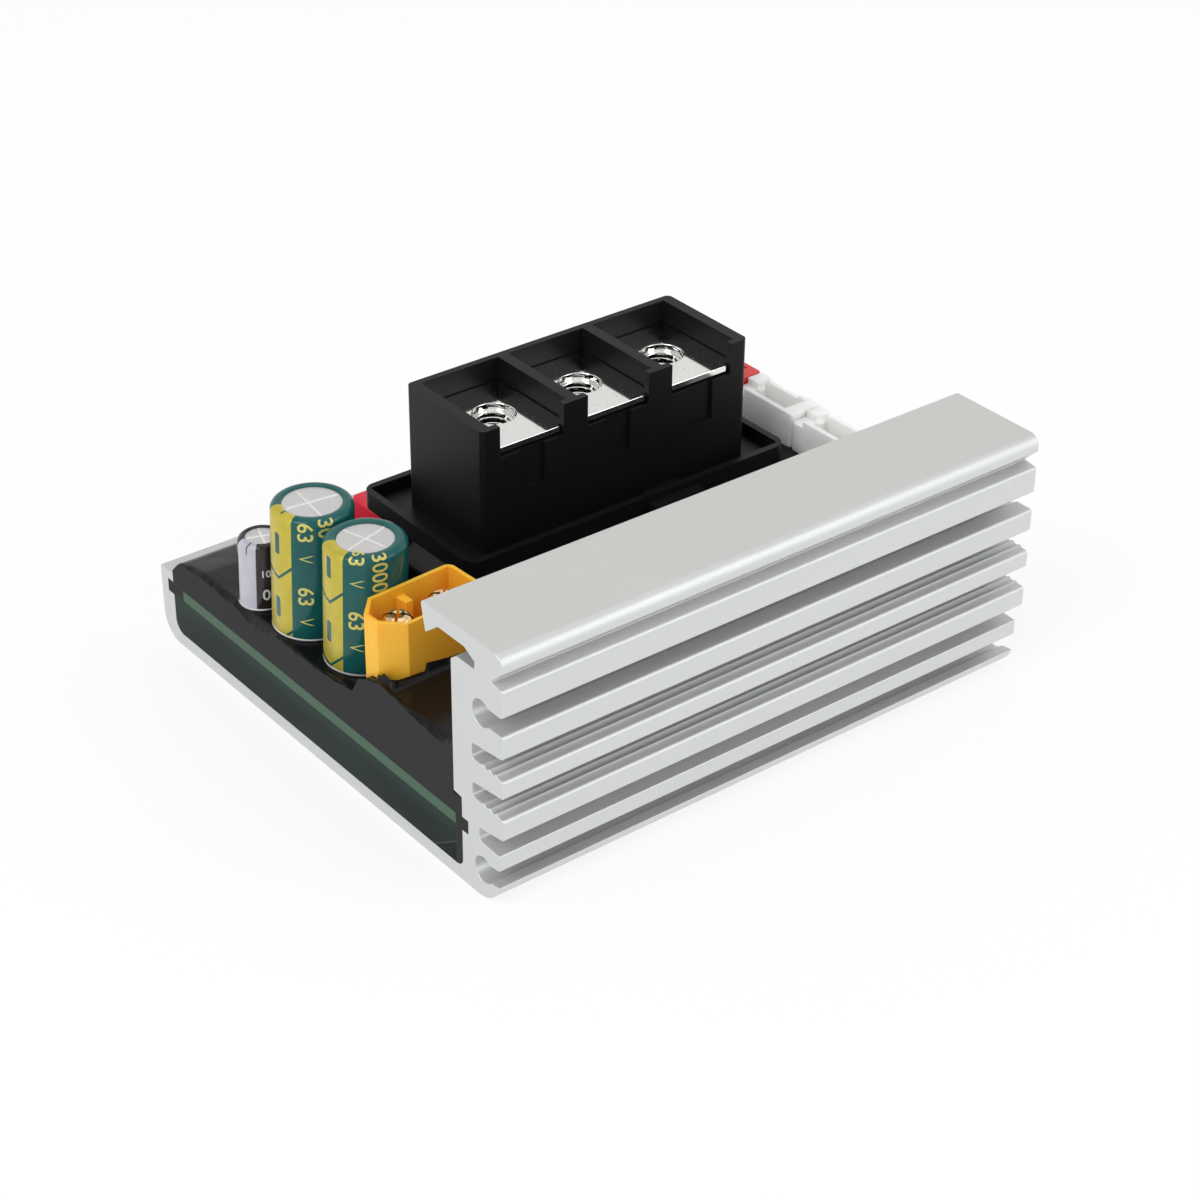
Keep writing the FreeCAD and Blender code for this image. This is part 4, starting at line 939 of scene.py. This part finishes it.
def board():
    """The board, its sawn ends flush with the resin."""
    bm = joined("circuit_board")
    for vert in bm.verts:
        if abs(vert.co.x) > BOARD_END - NEAR:
            vert.co.x = math.copysign(HALF_LENGTH - 0.01, vert.co.x)
    piece("board", bm, board_laminate(), ["circuit_board"])


def terminal_moulding():
    """The block, its tray drawn out to the reach it has in the photograph."""
    bm = joined("terminal_block")
    for vert in bm.verts:
        if not TRAY_LOW < vert.co.z < TRAY_HIGH:
            continue
        if vert.co.x < TRAY_NEAR:
            vert.co.x -= TRAY_END_REACH
        if vert.co.x > TRAY_FAR:
            vert.co.x += TRAY_END_REACH
        if vert.co.y > TRAY_BACK:
            vert.co.y += TRAY_BACK_REACH
    piece("terminal_moulding", bm, black_moulding(), ["terminal_block"],
          bevel=0.16)


def extrusion():
    """The housing, its lip's upper edge brought out to the reach it has in the photograph."""
    bm = joined("heatsink_housing")
    for vert in bm.verts:
        if vert.co.z > LIP_LOW and abs(vert.co.y - LIP_EDGE) < LIP_DEPTH:
            vert.co.y += LIP_NEAR_REACH if vert.co.x < 0 else LIP_FAR_REACH
    piece("extrusion", bm, anodised_extrusion(), ["heatsink_housing"], bevel=0.10)


def socket_shell():
    """The battery socket, its wall thinned and its rib raised inside."""
    bm = joined("battery_socket_shell")
    turn = Matrix.Rotation(-SOCKET_TURN, 3, "Z")
    corner = Vector((SOCKET_NEAR[0] - HALF_LENGTH, SOCKET_NEAR[1] - HALF_WIDTH, 0))
    half_size = Vector((SOCKET_SIZE[0] / 2, SOCKET_SIZE[1] / 2, 0))
    middle = corner + turn.transposed() @ half_size
    for vert in bm.verts:
        if vert.co.z < SOCKET_FLOOR - NEAR:
            continue
        place = turn @ (vert.co - middle)
        if abs(vert.co.z - RIB_TOP) < NEAR:
            place.z += RIB_RISE
        if abs(place.x - RIB_X) < RIB_HALF and place.y > RIB_FRONT:
            place.x = RIB_X + RIB_NARROWING * (place.x - RIB_X)
        far_x = abs(place.x)
        far_y = abs(place.y)
        within = far_x < OUTSIDE_HALF[0] and far_y < OUTSIDE_HALF[1]
        if within and (far_x > INSIDE_HALF[0] or far_y > INSIDE_HALF[1]):
            place.x *= WALL_GROWTH[0]
            place.y *= WALL_GROWTH[1]
        vert.co = middle + turn.transposed() @ place
    piece("socket_shell", bm, yellow_nylon(), ["battery_socket_shell"],
          bevel=0.14)


def socket_pins():
    """Each pin is a turned shank with four domed lobes round a cross-shaped split."""
    gold = gold_plate()
    for node in ("battery_pin_negative", "battery_pin_positive"):
        low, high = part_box(node)
        foot = low.z / MM
        bm = spun([(0.0, foot), (PIN_SHANK, foot), (PIN_SHANK, PIN_SHOULDER),
                   (PIN_RADIUS, PIN_SHOULDER), (PIN_RADIUS, SPLIT_FOOT), (0.0, SPLIT_FOOT)], 48)
        profile = [(0.1, SPLIT_FOOT - 0.2), (PIN_RADIUS, SPLIT_FOOT - 0.2)]
        for step in range(9):
            turn = math.radians(10 * step)
            profile.append((PIN_RADIUS - PIN_DOME + PIN_DOME * math.cos(turn),
                            PIN_TOP - PIN_DOME + PIN_DOME * math.sin(turn)))
        profile += [(0.3, PIN_TOP), (0.1, PIN_TOP - 0.15)]
        for quarter in range(4):
            lobe = bmesh.new()
            spots = [lobe.verts.new((radius, 0.0, height)) for radius, height in profile]
            bmesh.ops.spin(lobe, geom=[lobe.faces.new(spots)], cent=(0, 0, 0), axis=(0, 0, 1),
                           angle=math.pi / 2, steps=14)
            bmesh.ops.remove_doubles(lobe, verts=lobe.verts, dist=SAME_POINT)
            bmesh.ops.recalc_face_normals(lobe, faces=lobe.faces)
            moved(lobe, SPLIT_SHIFT, SPLIT_SHIFT)
            turned_round(lobe, math.pi / 4 * (2 * quarter + 1) + SOCKET_TURN)
            added(bm, lobe)
        moved(bm, (low.x + high.x) / 2 / MM, (low.y + high.y) / 2 / MM)
        piece(node.replace("battery", "socket"), bm, gold, [node], ROUND_SMOOTH)


def housing_and_mouldings():
    extrusion()
    socket_shell()
    socket_pins()
    white = moulded("white_nylon", (0.86, 0.86, 0.84), (0.94, 0.94, 0.92), 0.36, 0.008,
                    **{"Subsurface Weight": 0.6, "Subsurface Scale": 0.004,
                       "Subsurface Radius": (1.0, 1.0, 0.95)})
    red = moulded("red_nylon", (0.62, 0.02, 0.02), (0.74, 0.035, 0.03), 0.34, 0.008,
                  **{"Subsurface Weight": 0.1, "Subsurface Scale": 0.001})
    eased("header_white_1", "signal_header_white_1", white, 0.12)
    eased("header_white_2", "signal_header_white_2", white, 0.12)
    eased("header_red", "signal_header_red", red, 0.12)
    film = moulded("film_box", (0.70, 0.010, 0.036), (0.80, 0.018, 0.052), 0.34, 0.004,
                   **{"Specular IOR Level": 0.3})
    eased("film_box", "film_capacitor", film, 0.35, 3)


def carried_over():
    """The CAD nodes that stay, each with its own finish."""
    tinned = tinned_copper()
    package = moulded("chip_package", (0.016, 0.016, 0.017), (0.028, 0.028, 0.029), 0.45, 0.010)
    rubber = moulded("seal_rubber", (0.014, 0.014, 0.014), (0.026, 0.025, 0.025), 0.6, 0.020)
    pad = moulded("thermal_pad", (0.30, 0.35, 0.44), (0.40, 0.45, 0.54), 0.55, 0.020)
    finishes = {
        "underfill_resin": clear_underfill(),
        "thermal_pad": pad,
        "gate_drivers": package,
        "processor": package,
        "regulator": package,
        "inductor": package,
        "shunt_resistors": package,
        "high_side_transistors": package,
        "low_side_transistors": package,
        "film_capacitor_leads": tinned,
        "signal_header_red_pins": tinned,
        "signal_header_white_1_pins": tinned,
        "signal_header_white_2_pins": tinned,
    }
    for name in ("large_capacitor_1", "large_capacitor_2", "small_capacitor"):
        finishes[name + "_leads"] = tinned
        finishes[name + "_seal"] = rubber
    for node, finish in finishes.items():
        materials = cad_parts[node].data.materials
        materials.clear()
        materials.append(finish)


# Studio

def studio_floor():
    """A white floor. It glows where it is seen, also in mirror images, and lights nothing."""
    bm = bmesh.new()
    bmesh.ops.create_grid(bm, x_segments=1, y_segments=1, size=4.0)
    mesh = bpy.data.meshes.new("studio_floor")
    bm.to_mesh(mesh)
    bm.free()
    floor = in_scene("studio_floor", mesh)
    finish = Finish("studio_floor", **{"Base Color": (0.92, 0.92, 0.92, 1.0), "Roughness": 0.8,
                                       "Specular IOR Level": 0.1})
    rays = finish.add("ShaderNodeLightPath", {}, {})
    glow = finish.add("ShaderNodeEmission", {}, {"Color": (1.0, 1.0, 1.0), "Strength": 1.0})
    from_camera, from_gloss, through = (Field(finish, rays.outputs["Is %s Ray" % kind])
                                        for kind in ("Camera", "Glossy", "Transmission"))
    seen = (from_camera + from_gloss + through).lesser(1.0) * 0.8
    mixed = finish.add("ShaderNodeMixShader", {},
                       {0: seen, 1: finish.shader.outputs[0], 2: glow.outputs[0]})
    for node in finish.tree.nodes:
        if node.type == "OUTPUT_MATERIAL":
            finish.tree.links.new(mixed.outputs[0], node.inputs["Surface"])
    mesh.materials.append(finish.material)


def studio_world():
    """Soft light from all round, stronger near the horizon than overhead."""
    world = bpy.data.worlds.new("studio")
    bpy.context.scene.world = world
    world.use_nodes = True
    nodes = world.node_tree.nodes
    links = world.node_tree.links
    nodes.clear()
    place = nodes.new("ShaderNodeTexCoord")
    parts = nodes.new("ShaderNodeSeparateXYZ")
    links.new(place.outputs["Generated"], parts.inputs[0])
    height = nodes.new("ShaderNodeMapRange")
    height.inputs["From Min"].default_value = 0.35
    height.inputs["From Max"].default_value = 0.95
    height.inputs["To Min"].default_value = 0.95
    height.inputs["To Max"].default_value = 0.45
    links.new(parts.outputs["Z"], height.inputs["Value"])
    soft = nodes.new("ShaderNodeBackground")
    soft.inputs["Color"].default_value = (1.0, 1.0, 1.0, 1.0)
    links.new(height.outputs[0], soft.inputs["Strength"])
    output = nodes.new("ShaderNodeOutputWorld")
    links.new(soft.outputs[0], output.inputs["Surface"])


def studio_lamps():
    """Square lamps that face the part: place and side in metres, power in watts."""
    aim = Vector((0, 0, 0.015))
    for name, place, side, power in (("key", (-0.55, -0.15, 0.60), 0.40, 2.2),
                                     ("top", (0.10, 0.05, 0.95), 0.80, 1.4),
                                     ("fill", (0.35, -0.75, 0.35), 0.50, 1.3),
                                     ("sheen", (0.45, -0.50, 0.53), 0.24, 0.42)):
        lamp = bpy.data.lights.new(name, "AREA")
        lamp.shape = "SQUARE"
        lamp.size = side
        lamp.energy = power
        holder = in_scene(name, lamp)
        holder.location = place
        holder.rotation_euler = (Vector(place) - aim).to_track_quat("Z", "Y").to_euler()


def camera():
    """The photograph's viewpoint."""
    azimuth, elevation, roll = (math.radians(turn) for turn in (-38.437, 32.071, 0.589))
    target = Vector((6.106, 4.904, 3.612)) * MM
    distance = 380.9 * MM
    back = Vector((math.sin(azimuth) * math.cos(elevation),
                   -math.cos(azimuth) * math.cos(elevation), math.sin(elevation)))
    level = Vector((math.cos(azimuth), math.sin(azimuth), 0.0))
    upright = back.cross(level)
    right = math.cos(roll) * level + math.sin(roll) * upright
    up = math.cos(roll) * upright - math.sin(roll) * level
    eye = bpy.data.cameras.new("camera")
    eye.sensor_width = 36.0
    eye.lens = 82.462
    eye.clip_start = 0.01
    eye.clip_end = 10.0
    holder = in_scene("camera", eye)
    turned = Matrix((right, up, back)).transposed().to_4x4()
    turned.translation = target + back * distance
    holder.matrix_world = turned
    bpy.context.scene.camera = holder


bpy.context.scene.view_settings.view_transform = "Standard"
camera()
studio_floor()
studio_world()
studio_lamps()
housing_and_mouldings()
board()
terminal_moulding()
potting()
capacitors()
terminals()
carried_over()
